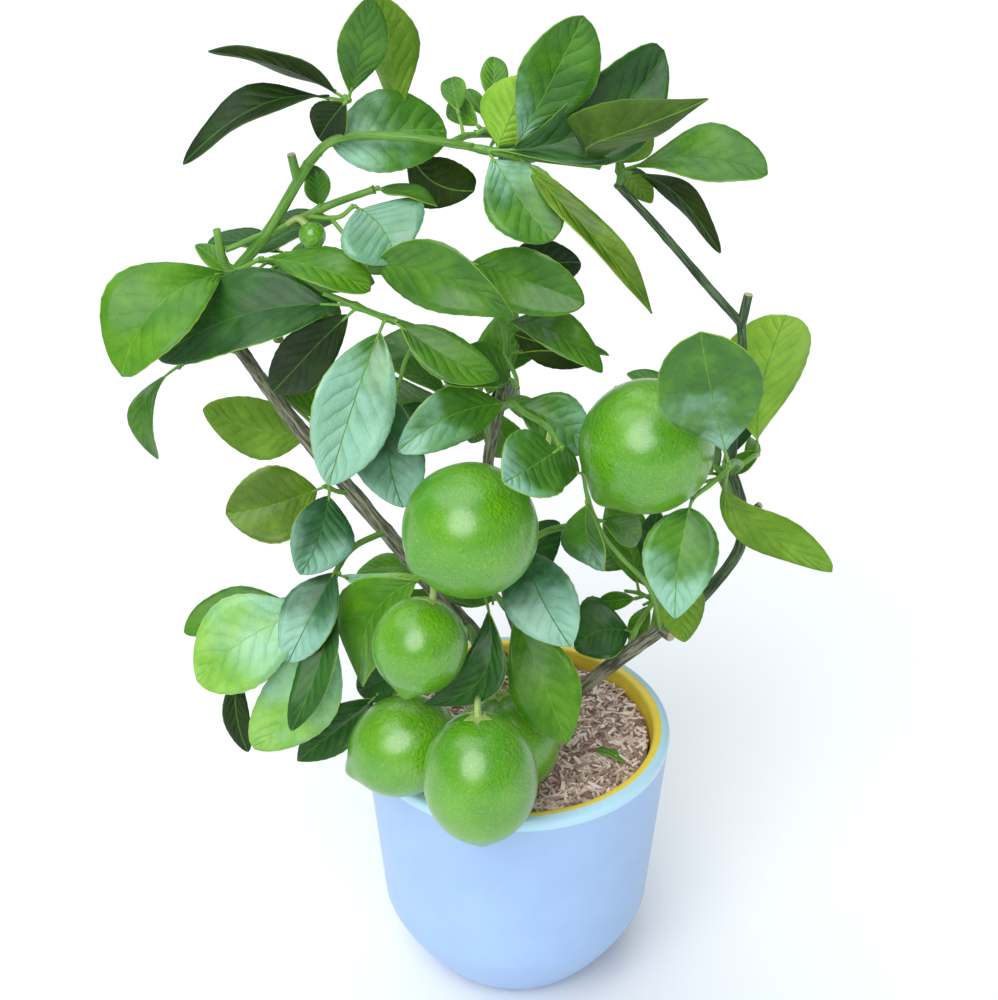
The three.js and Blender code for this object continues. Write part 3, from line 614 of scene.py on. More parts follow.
draws = numbers_from(1)
print("first draws of seed 1:", [round(next(draws), 4) for _ in range(3)])

# %% Grow the masses
MASSES = dict(FRONT_MASSES)
space = {row["name"]: limb_taken(row) for row in LIMBS}
space.update({name: mass_taken(twigs) for name, twigs in FRONT_MASSES.items()})
for name, (stem, middle, reach, tries, seed, _) in BACK_MASSES.items():
    MASSES[name] = grown_mass(stem, middle, reach, tries, seed, np.concatenate(list(space.values())))
    space[name] = mass_taken(MASSES[name])
for name, (_, middle, reach, _, _, fine_seed) in BACK_MASSES.items():
    others = np.concatenate([taken for owner, taken in space.items() if owner != name])
    shoots = finer_shoots(MASSES[name], middle, reach, fine_seed, others)
    print(name, "leaves:", sum(len(each["leaves"]) for each in MASSES[name]),
          "finer shoots:", len(shoots), "with", sum(len(each["leaves"]) for each in shoots))
    MASSES[name] = MASSES[name] + shoots
    space[name] = mass_taken(MASSES[name])
print("leaves in all:", sum(len(each["leaves"]) for twigs in MASSES.values() for each in twigs))

# %% [markdown]
# ## Shared effects
# Several finishes need the same effect: veins on a leaf of any green, ridges on old and young bark, pores on
# peel. Each effect is a node group that is built once. It takes a position and gives out heights and masks,
# and every material mixes them with its own colours and plain roughness.

# %% Helpers for node groups
def new_group(name, inputs, outputs):
    group = bpy.data.node_groups.new(name, "ShaderNodeTree")
    for label, kind, value in inputs:
        socket = group.interface.new_socket(label, in_out="INPUT", socket_type=kind)
        if value is not None:
            socket.default_value = value
    for label, kind in outputs:
        group.interface.new_socket(label, in_out="OUTPUT", socket_type=kind)
    return group, group.nodes.new("NodeGroupInput"), group.nodes.new("NodeGroupOutput")


def calculate(tree, operation, first, second=None, third=None):
    node = tree.nodes.new("ShaderNodeMath")
    node.operation = operation
    for place, value in enumerate((first, second, third)):
        if value is None:
            continue
        if isinstance(value, (int, float)):
            node.inputs[place].default_value = value
        else:
            tree.links.new(value, node.inputs[place])
    return node.outputs[0]


def smooth_mask(tree, value, low, high):
    node = tree.nodes.new("ShaderNodeMapRange")
    node.interpolation_type = "SMOOTHSTEP"
    tree.links.new(value, node.inputs["Value"])
    node.inputs["From Min"].default_value = low
    node.inputs["From Max"].default_value = high
    return node.outputs["Result"]


def cloud(tree, position, scale, detail=3, roughness=0.55):
    node = tree.nodes.new("ShaderNodeTexNoise")
    node.inputs["Scale"].default_value = scale
    node.inputs["Detail"].default_value = detail
    node.inputs["Roughness"].default_value = roughness
    tree.links.new(position, node.inputs["Vector"])
    return node.outputs["Fac"]


def placed_group(tree, group, *sources):
    node = tree.nodes.new("ShaderNodeGroup")
    node.node_tree = group
    for source, socket in zip(sources, node.inputs):
        tree.links.new(source, socket)
    return node.outputs


def mix_colours(tree, factor, first, second):
    node = tree.nodes.new("ShaderNodeMix")
    node.data_type = "RGBA"
    if isinstance(factor, (int, float)):
        node.inputs["Factor"].default_value = factor
    else:
        tree.links.new(factor, node.inputs["Factor"])
    for socket, colour in ((node.inputs[6], first), (node.inputs[7], second)):
        if isinstance(colour, tuple):
            socket.default_value = (*colour, 1)
        else:
            tree.links.new(colour, socket)
    return node.outputs[2]


# %% Leaf veins: a midrib along the blade and side veins that run out from it toward the margin
SIDE_VEINS = 9


def build_leaf_veins():
    group, given, result = new_group(
        "leaf_veins",
        [("Leaf UV", "NodeSocketVector", None), ("Position", "NodeSocketVector", None)],
        [("Vein", "NodeSocketFloat"), ("Pucker", "NodeSocketFloat"), ("Mottle", "NodeSocketFloat"),
         ("Margin", "NodeSocketFloat")],
    )
    split = group.nodes.new("ShaderNodeSeparateXYZ")
    group.links.new(given.outputs["Leaf UV"], split.inputs[0])
    along, edge = split.outputs["X"], split.outputs["Y"]
    aside = calculate(group, "ABSOLUTE", calculate(group, "SUBTRACT", edge, 0.5))
    place = given.outputs["Position"]

    # side veins: a wave along the blade, drawn out toward the tip at the margin
    wander = calculate(group, "MULTIPLY", cloud(group, place, 70, 2), 0.7)
    reach = calculate(group, "MULTIPLY", calculate(group, "POWER", aside, 0.8), 4.2)
    phase = calculate(group, "SUBTRACT", calculate(group, "MULTIPLY", along, SIDE_VEINS), reach)
    phase = calculate(group, "ADD", phase, wander)
    turns = calculate(group, "MULTIPLY", phase, math.pi)
    wave = calculate(group, "ABSOLUTE", calculate(group, "SINE", turns))
    side_vein = calculate(group, "SUBTRACT", 1, smooth_mask(group, wave, 0.0, 0.14))
    inner = calculate(group, "SUBTRACT", 1, smooth_mask(group, aside, 0.25, 0.46))
    side_vein = calculate(group, "MULTIPLY", side_vein, inner)

    # the finest veins, as the edges of small cells
    cells = group.nodes.new("ShaderNodeTexVoronoi")
    cells.feature = "DISTANCE_TO_EDGE"
    cells.inputs["Scale"].default_value = 420
    group.links.new(place, cells.inputs["Vector"])
    mesh_of_veins = smooth_mask(group, cells.outputs["Distance"], 0, 0.25)

    # the blade stands up between its veins, swells unevenly and has a grain
    pillow = calculate(group, "MULTIPLY", calculate(group, "POWER", wave, 0.6), inner)
    uneven = calculate(group, "MULTIPLY", cloud(group, place, 35, 2), 2.2)
    pillow = calculate(group, "MULTIPLY", pillow, uneven)
    swell = calculate(group, "MULTIPLY_ADD", cloud(group, place, 48, 3, 0.5), 2.6, pillow)
    grain = calculate(group, "MULTIPLY", cloud(group, place, 520, 2, 0.6), 0.22)
    pucker = calculate(group, "ADD", calculate(group, "MULTIPLY_ADD", mesh_of_veins, 0.1, swell), grain)

    blotch = smooth_mask(group, cloud(group, place, 45, 5, 0.6), 0.36, 0.68)
    group.links.new(side_vein, result.inputs["Vein"])
    group.links.new(pucker, result.inputs["Pucker"])
    group.links.new(blotch, result.inputs["Mottle"])
    # a pale line along the margin: a painted highlight on the lit edge of the blade
    group.links.new(smooth_mask(group, aside, 0.482, 0.499), result.inputs["Margin"])
    return group


leaf_veins = build_leaf_veins()
print("group:", leaf_veins.name)


# %% Bark: long ridges round the limb and paler patches
def build_bark_relief():
    group, given, result = new_group(
        "bark_relief",
        [("Limb UV", "NodeSocketVector", None), ("Position", "NodeSocketVector", None)],
        [("Ridge", "NodeSocketFloat"), ("Patch", "NodeSocketFloat")],
    )
    stretch = group.nodes.new("ShaderNodeMapping")
    stretch.inputs["Scale"].default_value = (14, 60, 1)
    group.links.new(given.outputs["Limb UV"], stretch.inputs["Vector"])
    ridge = cloud(group, stretch.outputs["Vector"], 1, 6, 0.62)
    fine = cloud(group, given.outputs["Position"], 900, 3, 0.6)
    group.links.new(calculate(group, "MULTIPLY_ADD", fine, 0.3, ridge), result.inputs["Ridge"])
    group.links.new(smooth_mask(group, ridge, 0.4, 0.62), result.inputs["Patch"])
    return group


bark_relief = build_bark_relief()
print("group:", bark_relief.name)

# %% [markdown]
# ## Leaf finishes
# A citrus leaf is waxy above: deep green, with a sheen and a paler midrib, its skin puckered between side
# veins. Below it is matt, paler and more olive, and its veins stand out. One function mixes each green from
# the shared veins. Where a leaf tips toward the sky its wax mirrors it, so some tones carry a painted sheen, a
# bluish painted reflection of the sky in the base colour, at one end of the blade. Tones are separate
# materials, dealt out leaf by leaf.

# %% Leaf materials
def plain_material(name, roughness, coat=0, coat_roughness=0.2, specular=0.5):
    material = bpy.data.materials.new(name)
    material.use_nodes = True
    shader = material.node_tree.nodes["Principled BSDF"]
    shader.inputs["Roughness"].default_value = roughness
    shader.inputs["Coat Weight"].default_value = coat
    shader.inputs["Coat Roughness"].default_value = coat_roughness
    shader.inputs["Specular IOR Level"].default_value = specular
    return material, material.node_tree, shader


def object_place(tree):
    return tree.nodes.new("ShaderNodeTexCoord").outputs["Object"]


def surface_place(tree, uv_name):
    surface = tree.nodes.new("ShaderNodeUVMap")
    surface.uv_map = uv_name
    return surface.outputs["UV"]


def add_bump(tree, shader, height, strength, distance):
    bump = tree.nodes.new("ShaderNodeBump")
    bump.inputs["Strength"].default_value = strength
    bump.inputs["Distance"].default_value = distance
    tree.links.new(height, bump.inputs["Height"])
    tree.links.new(bump.outputs["Normal"], shader.inputs["Normal"])


# The colour of the painted sheen, a painted reflection of the sky in the wax, how strongly it is painted, and
# how far its border wanders.
PAINTED_SHEEN = (0.34, 0.65, 0.49)
PAINTED_SHEEN_SHARE = 0.8
PAINTED_SHEEN_WAVER = 1.1


def bloom_mask(tree, surface, place, sheen_end, green_end):
    """Painted sheen, a bluish painted reflection: its full share where the blade is at its sheen end and 0 at
    its green end, each end a share of the way to the tip.
    """
    split = tree.nodes.new("ShaderNodeSeparateXYZ")
    tree.links.new(surface, split.inputs[0])
    along = calculate(tree, "MULTIPLY_ADD", cloud(tree, place, 42, 3), PAINTED_SHEEN_WAVER, split.outputs["X"])
    mask = smooth_mask(tree, along, green_end + PAINTED_SHEEN_WAVER / 2, sheen_end + PAINTED_SHEEN_WAVER / 2)
    return calculate(tree, "MULTIPLY", mask, PAINTED_SHEEN_SHARE)


def leaf_material(name, deep, light, vein, coat=0.45, vein_share=0.24, bloom=None):
    material, tree, shader = plain_material(name, 0.5, coat, 0.26, 0.2)
    shader.inputs["Coat IOR"].default_value = 1.55
    place, surface = object_place(tree), surface_place(tree, "leaf")
    veins = placed_group(tree, leaf_veins, surface, place)
    skin = mix_colours(tree, veins["Mottle"], deep, light)
    # painted sheen: a bluish painted reflection mixed into the base colour at one end of the blade
    if bloom:
        skin = mix_colours(tree, bloom_mask(tree, surface, place, *bloom), skin, PAINTED_SHEEN)
    marked = mix_colours(tree, calculate(tree, "MULTIPLY", veins["Vein"], vein_share), skin, vein)
    # the pale margin is a painted highlight on the lit edge
    edged = mix_colours(tree, calculate(tree, "MULTIPLY", veins["Margin"], 0.6), marked, vein)
    tree.links.new(edged, shader.inputs["Base Color"])
    add_bump(tree, shader, veins["Pucker"], 0.5, 0.0022)
    return material


def upper(name, deep, light, vein, **how):
    return leaf_material("leaf_" + name, deep, light, vein, **how)


def under(name, deep, light, vein):
    return leaf_material("underside_" + name, deep, light, vein, coat=0, vein_share=0.35)


# Tones named shade are painted shade for leaves deep in the crown; dark is a deep green, partly painted shade.
# The dark bluish tone, pale and the sheen tones carry a painted sheen, a painted reflection of the sky mixed
# into the base colour at one end of the blade; the sheen tone's bluish greens are partly painted sheen as well.
WAXY_GREENS = ((0.035, 0.16, 0.006), (0.08, 0.26, 0.012), (0.16, 0.4, 0.06))
SHEEN_GREENS = ((0.06, 0.22, 0.06), (0.12, 0.34, 0.16), (0.16, 0.4, 0.16))
MIDDLE_GREENS = ((0.05, 0.2, 0.02), (0.1, 0.3, 0.05), (0.15, 0.4, 0.1))
UPPER_TONES = {
    "shade": upper("shade", (0.01, 0.03, 0.004), (0.02, 0.055, 0.006), (0.045, 0.1, 0.015), coat=0.1),
    "dark": upper("dark", (0.013, 0.075, 0.008), (0.03, 0.13, 0.013), (0.08, 0.24, 0.045), coat=0.3),
    "dark_sheen": upper("dark_sheen", (0.014, 0.085, 0.02), (0.035, 0.15, 0.045), (0.1, 0.28, 0.1), bloom=(1.0, 0.2)),
    "mid": upper("mid", (0.036, 0.15, 0.004), (0.08, 0.24, 0.006), (0.15, 0.37, 0.03)),
    "bright": upper("bright", (0.052, 0.205, 0.004), (0.105, 0.3, 0.006), (0.24, 0.48, 0.04), coat=0.35),
    "olive": upper("olive", (0.08, 0.17, 0.008), (0.15, 0.28, 0.018), (0.3, 0.45, 0.06), coat=0.3),
    "pale": upper("pale", (0.17, 0.44, 0.035), (0.3, 0.58, 0.09), (0.42, 0.7, 0.2), bloom=(0.2, 0.8)),
    "sheen": upper("sheen", *SHEEN_GREENS, coat=1, bloom=(-0.6, 1.3)),
    "sheen_middle": upper("sheen_middle", *MIDDLE_GREENS, coat=1, vein_share=0.4, bloom=(0.5, 0)),
    "sheen_base": upper("sheen_base", *WAXY_GREENS, bloom=(0.05, 0.55)),
    "sheen_tip": upper("sheen_tip", *WAXY_GREENS, bloom=(0.9, 0.4)),
}
UNDER_TONES = {
    "shade": under("shade", (0.02, 0.045, 0.004), (0.04, 0.08, 0.007), (0.09, 0.16, 0.03)),
    "moss": under("moss", (0.045, 0.1, 0.008), (0.08, 0.16, 0.013), (0.16, 0.28, 0.04)),
    "olive": under("olive", (0.12, 0.26, 0.016), (0.2, 0.37, 0.03), (0.34, 0.5, 0.09)),
    "pale": under("pale", (0.2, 0.42, 0.03), (0.29, 0.52, 0.05), (0.44, 0.64, 0.15)),
}
MIDRIBS = {
    "deep": upper("rib_deep", (0.05, 0.18, 0.02), (0.08, 0.23, 0.03), (0.12, 0.3, 0.05), coat=0.2),
    "light": upper("rib_light", (0.13, 0.33, 0.03), (0.18, 0.4, 0.05), (0.26, 0.48, 0.1), coat=0.2),
    "pale": upper("rib_pale", (0.28, 0.54, 0.08), (0.34, 0.6, 0.13), (0.4, 0.66, 0.2), coat=0.2),
}
print("leaf materials:", len(UPPER_TONES) + len(UNDER_TONES) + len(MIDRIBS))


# %% Stem materials
def stem_material(name, ground, patch, roughness, relief, distance):
    material, tree, shader = plain_material(name, roughness)
    bark = placed_group(tree, bark_relief, surface_place(tree, "stem"), object_place(tree))
    tree.links.new(mix_colours(tree, bark["Patch"], ground, patch), shader.inputs["Base Color"])
    add_bump(tree, shader, bark["Ridge"], relief, distance)
    return material


STEM_FINISHES = {
    "old": stem_material("old_bark", (0.08, 0.085, 0.055), (0.34, 0.34, 0.24), 0.85, 0.8, 0.0015),
    "dark": stem_material("dark_bark", (0.018, 0.05, 0.014), (0.11, 0.18, 0.08), 0.7, 0.6, 0.001),
    "green": stem_material("green_bark", (0.08, 0.23, 0.02), (0.17, 0.37, 0.05), 0.5, 0.45, 0.0006),
    "young": stem_material("young_stem", (0.13, 0.31, 0.03), (0.2, 0.42, 0.06), 0.42, 0.3, 0.0004),
    "fruit_stalk": stem_material("fruit_stalk", (0.3, 0.42, 0.1), (0.45, 0.58, 0.2), 0.5, 0.5, 0.0006),
    "cut": stem_material("cut_wood", (0.42, 0.38, 0.22), (0.55, 0.5, 0.32), 0.8, 0.4, 0.0006),
}
STEM_SLOTS = {finish: place for place, finish in enumerate(STEM_FINISHES)}
print("stem finishes:", list(STEM_FINISHES))

# %% [markdown]
# ## Leaves
# A leaf could be a flat card with a picture of a leaf on it, but a card has no edge and shows its trick from
# the side. Here each leaf is a small grid that is moved to the leaf's own outline, folded along its midrib,
# arched and waved at its margin, then given its thickness. The row of faces along the middle is the midrib.

# %% Make one leaf
LEAF_ROWS = 26
LEAF_COLUMNS = 9
LEAF_THICKNESS = 0.7
BLADE_START = 0.09  # share of the leaf's length where its stalk ends and its blade begins
MIDRIB_EDGE = 1 / LEAF_COLUMNS
MIDRIB_HALF_WIDTH = 0.33
NOTCH = 0.009  # share by which every other row of the margin stands out
TWIST = 24  # degrees that a blade turns at most on its way to the tip
FLUTTER = 0.022  # height of the margin's waves, as a share of the length


def column_edge(side, half):
    """Where a column of the grid lies, from -1 to 1 across the blade. The middle one is the midrib."""
    rib = min(0.9, MIDRIB_HALF_WIDTH / half)
    away = abs(side)
    if away <= MIDRIB_EDGE * 1.01:
        return rib * side / MIDRIB_EDGE
    return math.copysign(rib + (1 - rib) * (away - MIDRIB_EDGE) / (1 - MIDRIB_EDGE), side)


def add_leaf(whole, route, row, upper, under, rib):
    shape = bmesh.new()
    uv = shape.loops.layers.uv.new("leaf")
    bmesh.ops.create_grid(shape, x_segments=LEAF_ROWS, y_segments=LEAF_COLUMNS, size=0.5, calc_uvs=True)
    foot, along, upright, aside = leaf_frame(route, row)
    turn = row["long"] * 7 + row["clock"]
    for vertex in shape.verts:
        step = vertex.co.x + 0.5
        closer_at_ends = 0.5 - 0.5 * math.cos(math.pi * step)
        blade = between(step, closer_at_ends, 0.5)
        share = between(BLADE_START, 1, blade)
        notch = 1 + NOTCH * (-1) ** round(step * LEAF_ROWS)
        half = fine_half_width(row, blade) * notch
        edge = column_edge(vertex.co.y * 2, half)
        twist = math.radians(TWIST * math.sin(turn)) * (share - 0.3)
        up = upright * math.cos(twist) - aside * math.sin(twist)
        across = aside * math.cos(twist) + upright * math.sin(twist)
        point = leaf_point((foot, along, up, across), row, share, edge, half)
        cup = (abs(edge) - abs(edge) ** 1.4) * half * math.tan(math.radians(row["fold"])) * 0.5
        flutter = FLUTTER * row["long"] * edge**2 * math.sin(share * 9 + turn + (2 if edge > 0 else 0))
        vertex.co = Vector(point + up * (flutter * min(1, (1 - share) * 4) - cup))
    bmesh.ops.reverse_faces(shape, faces=shape.faces)
    top = set(shape.faces)
    bmesh.ops.solidify(shape, geom=shape.faces[:], thickness=LEAF_THICKNESS)
    for face in shape.faces:
        across = sum(loop[uv].uv.y for loop in face.loops) / len(face.loops)
        on_rib = abs(across - 0.5) < 0.25 / LEAF_COLUMNS
        face.material_index = 2 if on_rib else 0 if face in top else 1
        face.smooth = True
    append_shape(whole, shape, {0: upper, 1: under, 2: rib})


print("faces on the two sides of one leaf:", 2 * LEAF_ROWS * LEAF_COLUMNS)


def empty_piece(uv_name):
    whole = bmesh.new()
    whole.loops.layers.uv.new(uv_name)
    return whole


def append_shape(whole, shape, slots):
    for face in shape.faces:
        face.material_index = slots[face.material_index]
    small = bpy.data.meshes.new("part")
    shape.to_mesh(small)
    shape.free()
    whole.from_mesh(small)
    bpy.data.meshes.remove(small)


def finish_piece(name, whole, materials, node_names):
    bmesh.ops.scale(whole, vec=(MM, MM, MM), verts=whole.verts)
    mesh = bpy.data.meshes.new(name)
    whole.to_mesh(mesh)
    whole.free()
    for material in materials:
        mesh.materials.append(material)
    piece = bpy.data.objects.new(name, mesh)
    bpy.context.scene.collection.objects.link(piece)
    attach(piece, "root")
    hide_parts(*node_names)
    return piece


# %% Make the leaves of each mass
LEAF_MATERIALS = [*UPPER_TONES.values(), *UNDER_TONES.values(), *MIDRIBS.values()]
BACK_TONES = ("mid", "dark", "mid", "bright", "dark")
UNDERSIDE_FACE = 120
RIBS = {"shade": "deep", "dark": "deep", "dark_sheen": "deep", "mid": "deep", "pale": "pale"}


def leaf_slots(row):
    rib = "light" if row["face"] > UNDERSIDE_FACE else RIBS.get(row["tone"], "light")
    finishes = (UPPER_TONES[row["tone"]], UNDER_TONES[row["under"]], MIDRIBS[rib])
    return [LEAF_MATERIALS.index(finish) for finish in finishes]


for name in BACK_MASSES:
    for spray, each in enumerate(MASSES[name]):
        for row in each["leaves"]:
            if row["tone"] == "mid":
                row["tone"] = BACK_TONES[spray % len(BACK_TONES)]

triangles = 0
for name, twigs in MASSES.items():
    if not any(each["leaves"] for each in twigs):
        continue
    whole = empty_piece("leaf")
    for each in twigs:
        for row in each["leaves"]:
            add_leaf(whole, each["route"], row, *leaf_slots(row))
    triangles += sum(len(face.verts) - 2 for face in whole.faces)
    finish_piece(name + "_leaves", whole, LEAF_MATERIALS, [name])
print("leaf triangles:", triangles)

# %% [markdown]
# ## Trunk, boughs and twigs
# A limb is a tube that tapers. A curve object with a bevel would draw one, but its rings can't be given
# bark. A grid wrapped into a tube can: each ring is placed on the limb's curve, and a little noise pushes its
# points in and out, with a swelling where each leaf grows. Old wood near the pot is ridged, young shoots are
# smooth.

# %% Make one tube
SWELLING = 0.35
SWELLING_REACH = 2.2
FLARE_FALL = 6


def add_tube(whole, route, radii, sides, step, slot, flare=0, relief=0, end_slot=None, swellings=()):
    rings = max(3, math.ceil(route_length(route) / step))
    shape = bmesh.new()
    uv = shape.loops.layers.uv.new("stem")
    bmesh.ops.create_grid(shape, x_segments=rings, y_segments=sides, size=0.5, calc_uvs=True)
    long = route_length(route)
    for face in shape.faces:
        face.smooth = True
        for loop in face.loops:
            loop[uv].uv = (loop[uv].uv.y, loop[uv].uv.x * long * MM)
    side = np.array([0, 1, 0], float)
    frames = []
    for ring in range(rings + 1):
        share = ring / rings
        along = smooth_tangent(route, share)
        side = side - along * side.dot(along)
        side /= np.linalg.norm(side)
        radius = between(*radii, share) * (1 + flare * math.exp(-share * FLARE_FALL))
        for swelling in swellings:
            radius += SWELLING * radii[1] * math.exp(-(((share - swelling) * long / SWELLING_REACH) ** 2))
        frames.append((smooth_point(route, share), side, np.cross(along, side), radius))
    for vertex in shape.verts:
        middle, side, across, radius = frames[round((vertex.co.x + 0.5) * rings)]
        angle = 2 * math.pi * round((vertex.co.y + 0.5) * sides) / sides
        outward = side * math.sin(angle) + across * math.cos(angle)
        if relief:
            rough = noise.fractal(Vector(middle * 0.05 + outward * radius * 0.5), 0.7, 2.1, 4)
            radius = radius + relief * rough
        vertex.co = Vector(middle + outward * radius)
    bmesh.ops.remove_doubles(shape, verts=shape.verts, dist=1e-4)
    rims = [edge for edge in shape.edges if edge.is_boundary]
    caps = bmesh.ops.holes_fill(shape, edges=rims, sides=sides + 1)["faces"]
    for cap in caps:
        cap.material_index = 1
        cap.smooth = False
    bmesh.ops.recalc_face_normals(shape, faces=shape.faces)
    append_shape(whole, shape, {0: slot, 1: slot if end_slot is None else end_slot})


# %% Dress the trunk and boughs
OLD_RELIEF = 0.9
YOUNG_RELIEF = 0.35
STUB_RELIEF = 0.3

for row in LIMBS:
    whole = empty_piece("stem")
    skin = STEM_SLOTS[row["bark"]]
    relief = OLD_RELIEF if row["bark"] == "old" else YOUNG_RELIEF
    add_tube(whole, row["route"], row["radii"], 24, 2.5, skin, row["flare"], relief)
    for cut in row["stubs"]:
        start = smooth_point(row["route"], cut["at"])
        end = start + heading(cut["clock"], cut["lean"]) * cut["long"]
        radii = (cut["radius"], cut["radius"] * 0.92)
        add_tube(whole, [tuple(start), tuple(end)], radii, 14, 2, skin, 0, STUB_RELIEF, STEM_SLOTS["cut"])
    finish_piece(row["name"] + "_bark", whole, STEM_FINISHES.values(), [row["name"]])
print("limbs dressed:", len(LIMBS))


# %% Twigs, leaf stalks, buds and fruit stalks
FRUITLET_WIDE = 30
CALYX_RADIUS = 8.5


def add_bud(whole, middle, toward, size, slot):
    shape = empty_piece("stem")
    bmesh.ops.create_uvsphere(shape, u_segments=8, v_segments=6, radius=1)
    bmesh.ops.scale(shape, vec=(size * 0.6, size * 0.6, size), verts=shape.verts)
    turn = Vector((0, 0, 1)).rotation_difference(Vector(toward))
    bmesh.ops.rotate(shape, cent=(0, 0, 0), matrix=turn.to_matrix(), verts=shape.verts)
    bmesh.ops.translate(shape, vec=middle, verts=shape.verts)
    for face in shape.faces:
        face.smooth = True
    append_shape(whole, shape, {0: slot})


def add_calyx(whole, crown, toward, radius, slot):
    """A five-pointed green star that lies on the fruit's shoulder where its stalk ends."""
    shape = empty_piece("stem")
    bmesh.ops.create_circle(shape, cap_ends=True, cap_tris=True, segments=10, radius=radius)
    for place, vertex in enumerate([v for v in shape.verts if v.co.length > radius * 0.5]):
        vertex.co *= 1 if place % 2 else 0.55
        vertex.co.z -= 1.3 if place % 2 else 0.5
    bmesh.ops.solidify(shape, geom=shape.faces[:], thickness=0.8)
    turn = Vector((0, 0, -1)).rotation_difference(Vector(toward))
    bmesh.ops.rotate(shape, cent=(0, 0, 0), matrix=turn.to_matrix(), verts=shape.verts)
    bmesh.ops.translate(shape, vec=crown, verts=shape.verts)
    append_shape(whole, shape, {0: slot})


for name, twigs in MASSES.items():
    whole = empty_piece("stem")
    for each in twigs:
        places = [row["at"] for row in each["leaves"]]
        skin = STEM_SLOTS["green" if each["radii"][0] > 1.9 else "young"]
        add_tube(whole, each["route"], each["radii"], 10, 3, skin, 0, 0.12, None, places)
        for row in each["leaves"]:
            placed = leaf_frame(each["route"], row)
            stalk = [tuple(leaf_point(placed, row, share, 0, 0)) for share in (0, 0.07, 0.15)]
            add_tube(whole, stalk, (1.05, 0.75), 6, 3, STEM_SLOTS["young"])
            away = placed[1] + placed[2]
            add_bud(whole, placed[0] + away * 1.2, away, 2.2, STEM_SLOTS["young"])
        for row in each["fruits"]:
            start = smooth_point(each["route"], row["at"])
            toward = heading(row["clock"], row["lean"])
            crown = np.array(row["middle"]) + toward * (2 - row["long"] / 2)
            rise = row["long"] / 2 + np.linalg.norm(crown - start) * 0.3
            above = np.array(row["middle"]) - toward * rise
            stalk = [tuple(start), tuple(between(above, start, 0.25)), tuple(crown)]
            add_tube(whole, stalk, (1.5, 2.3), 10, 1.5, STEM_SLOTS["fruit_stalk"], 0, 0.2)
            if row["wide"] > FRUITLET_WIDE:
                add_calyx(whole, crown - toward * 2, toward, CALYX_RADIUS, STEM_SLOTS["fruit_stalk"])
    finish_piece(name + "_twigs", whole, STEM_FINISHES.values(), [name])
print("twigged masses:", len(MASSES))

# %% [markdown]
# ## Fruit
# An unripe lemon is nearly round, with a small nipple at its blossom end and a star-shaped green calyx at
# its stalk. A sphere is the right start: its rings are moved to the fruit's profile, and noise gives it the
# uneven swell of real fruit. The pores are too small to model, so the peel's bump draws them.

# %% Peel material
def build_peel_pores():
    group, given, result = new_group(
        "peel_pores", [("Position", "NodeSocketVector", None)],
        [("Height", "NodeSocketFloat"), ("Spot", "NodeSocketFloat"), ("Blush", "NodeSocketFloat")],
    )
    place = given.outputs["Position"]
    cells = group.nodes.new("ShaderNodeTexVoronoi")
    cells.feature = "SMOOTH_F1"
    cells.inputs["Scale"].default_value = 640
    group.links.new(place, cells.inputs["Vector"])
    pebbles = calculate(group, "SUBTRACT", 1, cells.outputs["Distance"])
    lumps = cloud(group, place, 330, 3, 0.6)
    group.links.new(calculate(group, "MULTIPLY_ADD", lumps, 1.5, pebbles), result.inputs["Height"])
    group.links.new(smooth_mask(group, pebbles, 0.62, 0.95), result.inputs["Spot"])
    group.links.new(smooth_mask(group, cloud(group, place, 22, 3), 0.35, 0.7), result.inputs["Blush"])
    return group


peel_pores = build_peel_pores()


def peel_material(name, deep, light, spot):
    material, tree, shader = plain_material(name, 0.5, 1, 0.28, 0.1)
    shader.inputs["Coat IOR"].default_value = 1.72
    pores = placed_group(tree, peel_pores, object_place(tree))
    skin = mix_colours(tree, pores["Blush"], deep, light)
    dotted = mix_colours(tree, calculate(tree, "MULTIPLY", pores["Spot"], 0.5), skin, spot)
    tree.links.new(dotted, shader.inputs["Base Color"])
    add_bump(tree, shader, pores["Height"], 0.9, 0.0011)
    return material


GREEN_PEEL = peel_material("green_peel", (0.075, 0.31, 0.002), (0.14, 0.41, 0.004), (0.28, 0.56, 0.03))
print("peel:", GREEN_PEEL.name)


# %% Fruit
NIPPLE = 4.5


def add_fruit(whole, row):
    shape = empty_piece("stem")
    large = row["wide"] > FRUITLET_WIDE
    around, upward = (56, 36) if large else (20, 14)
    bmesh.ops.create_uvsphere(shape, u_segments=around, v_segments=upward, radius=1)
    for vertex in shape.verts:
        polar = math.acos(max(-1, min(1, vertex.co.z)))
        nipple = NIPPLE * math.exp(-(((math.pi - polar) / 0.24) ** 2)) if large else 0
        dimple = 1.2 * math.exp(-((polar / 0.25) ** 2)) if large else 0
        swell = 1 + (0.012 * noise.noise(vertex.co * 1.7 + Vector(row["middle"])) if large else 0)
        aside = Vector((vertex.co.x, vertex.co.y, 0)) * row["wide"] / 2 * swell
        vertex.co = aside + Vector((0, 0, vertex.co.z * row["long"] / 2 - nipple - dimple))
    toward = Vector(heading(row["clock"], row["lean"]))
    turn = Vector((0, 0, -1)).rotation_difference(toward)
    bmesh.ops.rotate(shape, cent=(0, 0, 0), matrix=turn.to_matrix(), verts=shape.verts)
    bmesh.ops.translate(shape, vec=row["middle"], verts=shape.verts)
    for face in shape.faces:
        face.smooth = True
    append_shape(whole, shape, {0: 0})


for name, twigs in MASSES.items():
    rows = [row for each in twigs for row in each["fruits"]]
    if rows:
        whole = empty_piece("stem")
        for row in rows:
            add_fruit(whole, row)
        finish_piece(name + "_fruit", whole, [GREEN_PEEL], [name])
print("fruit:", sum(len(each["fruits"]) for twigs in MASSES.values() for each in twigs))

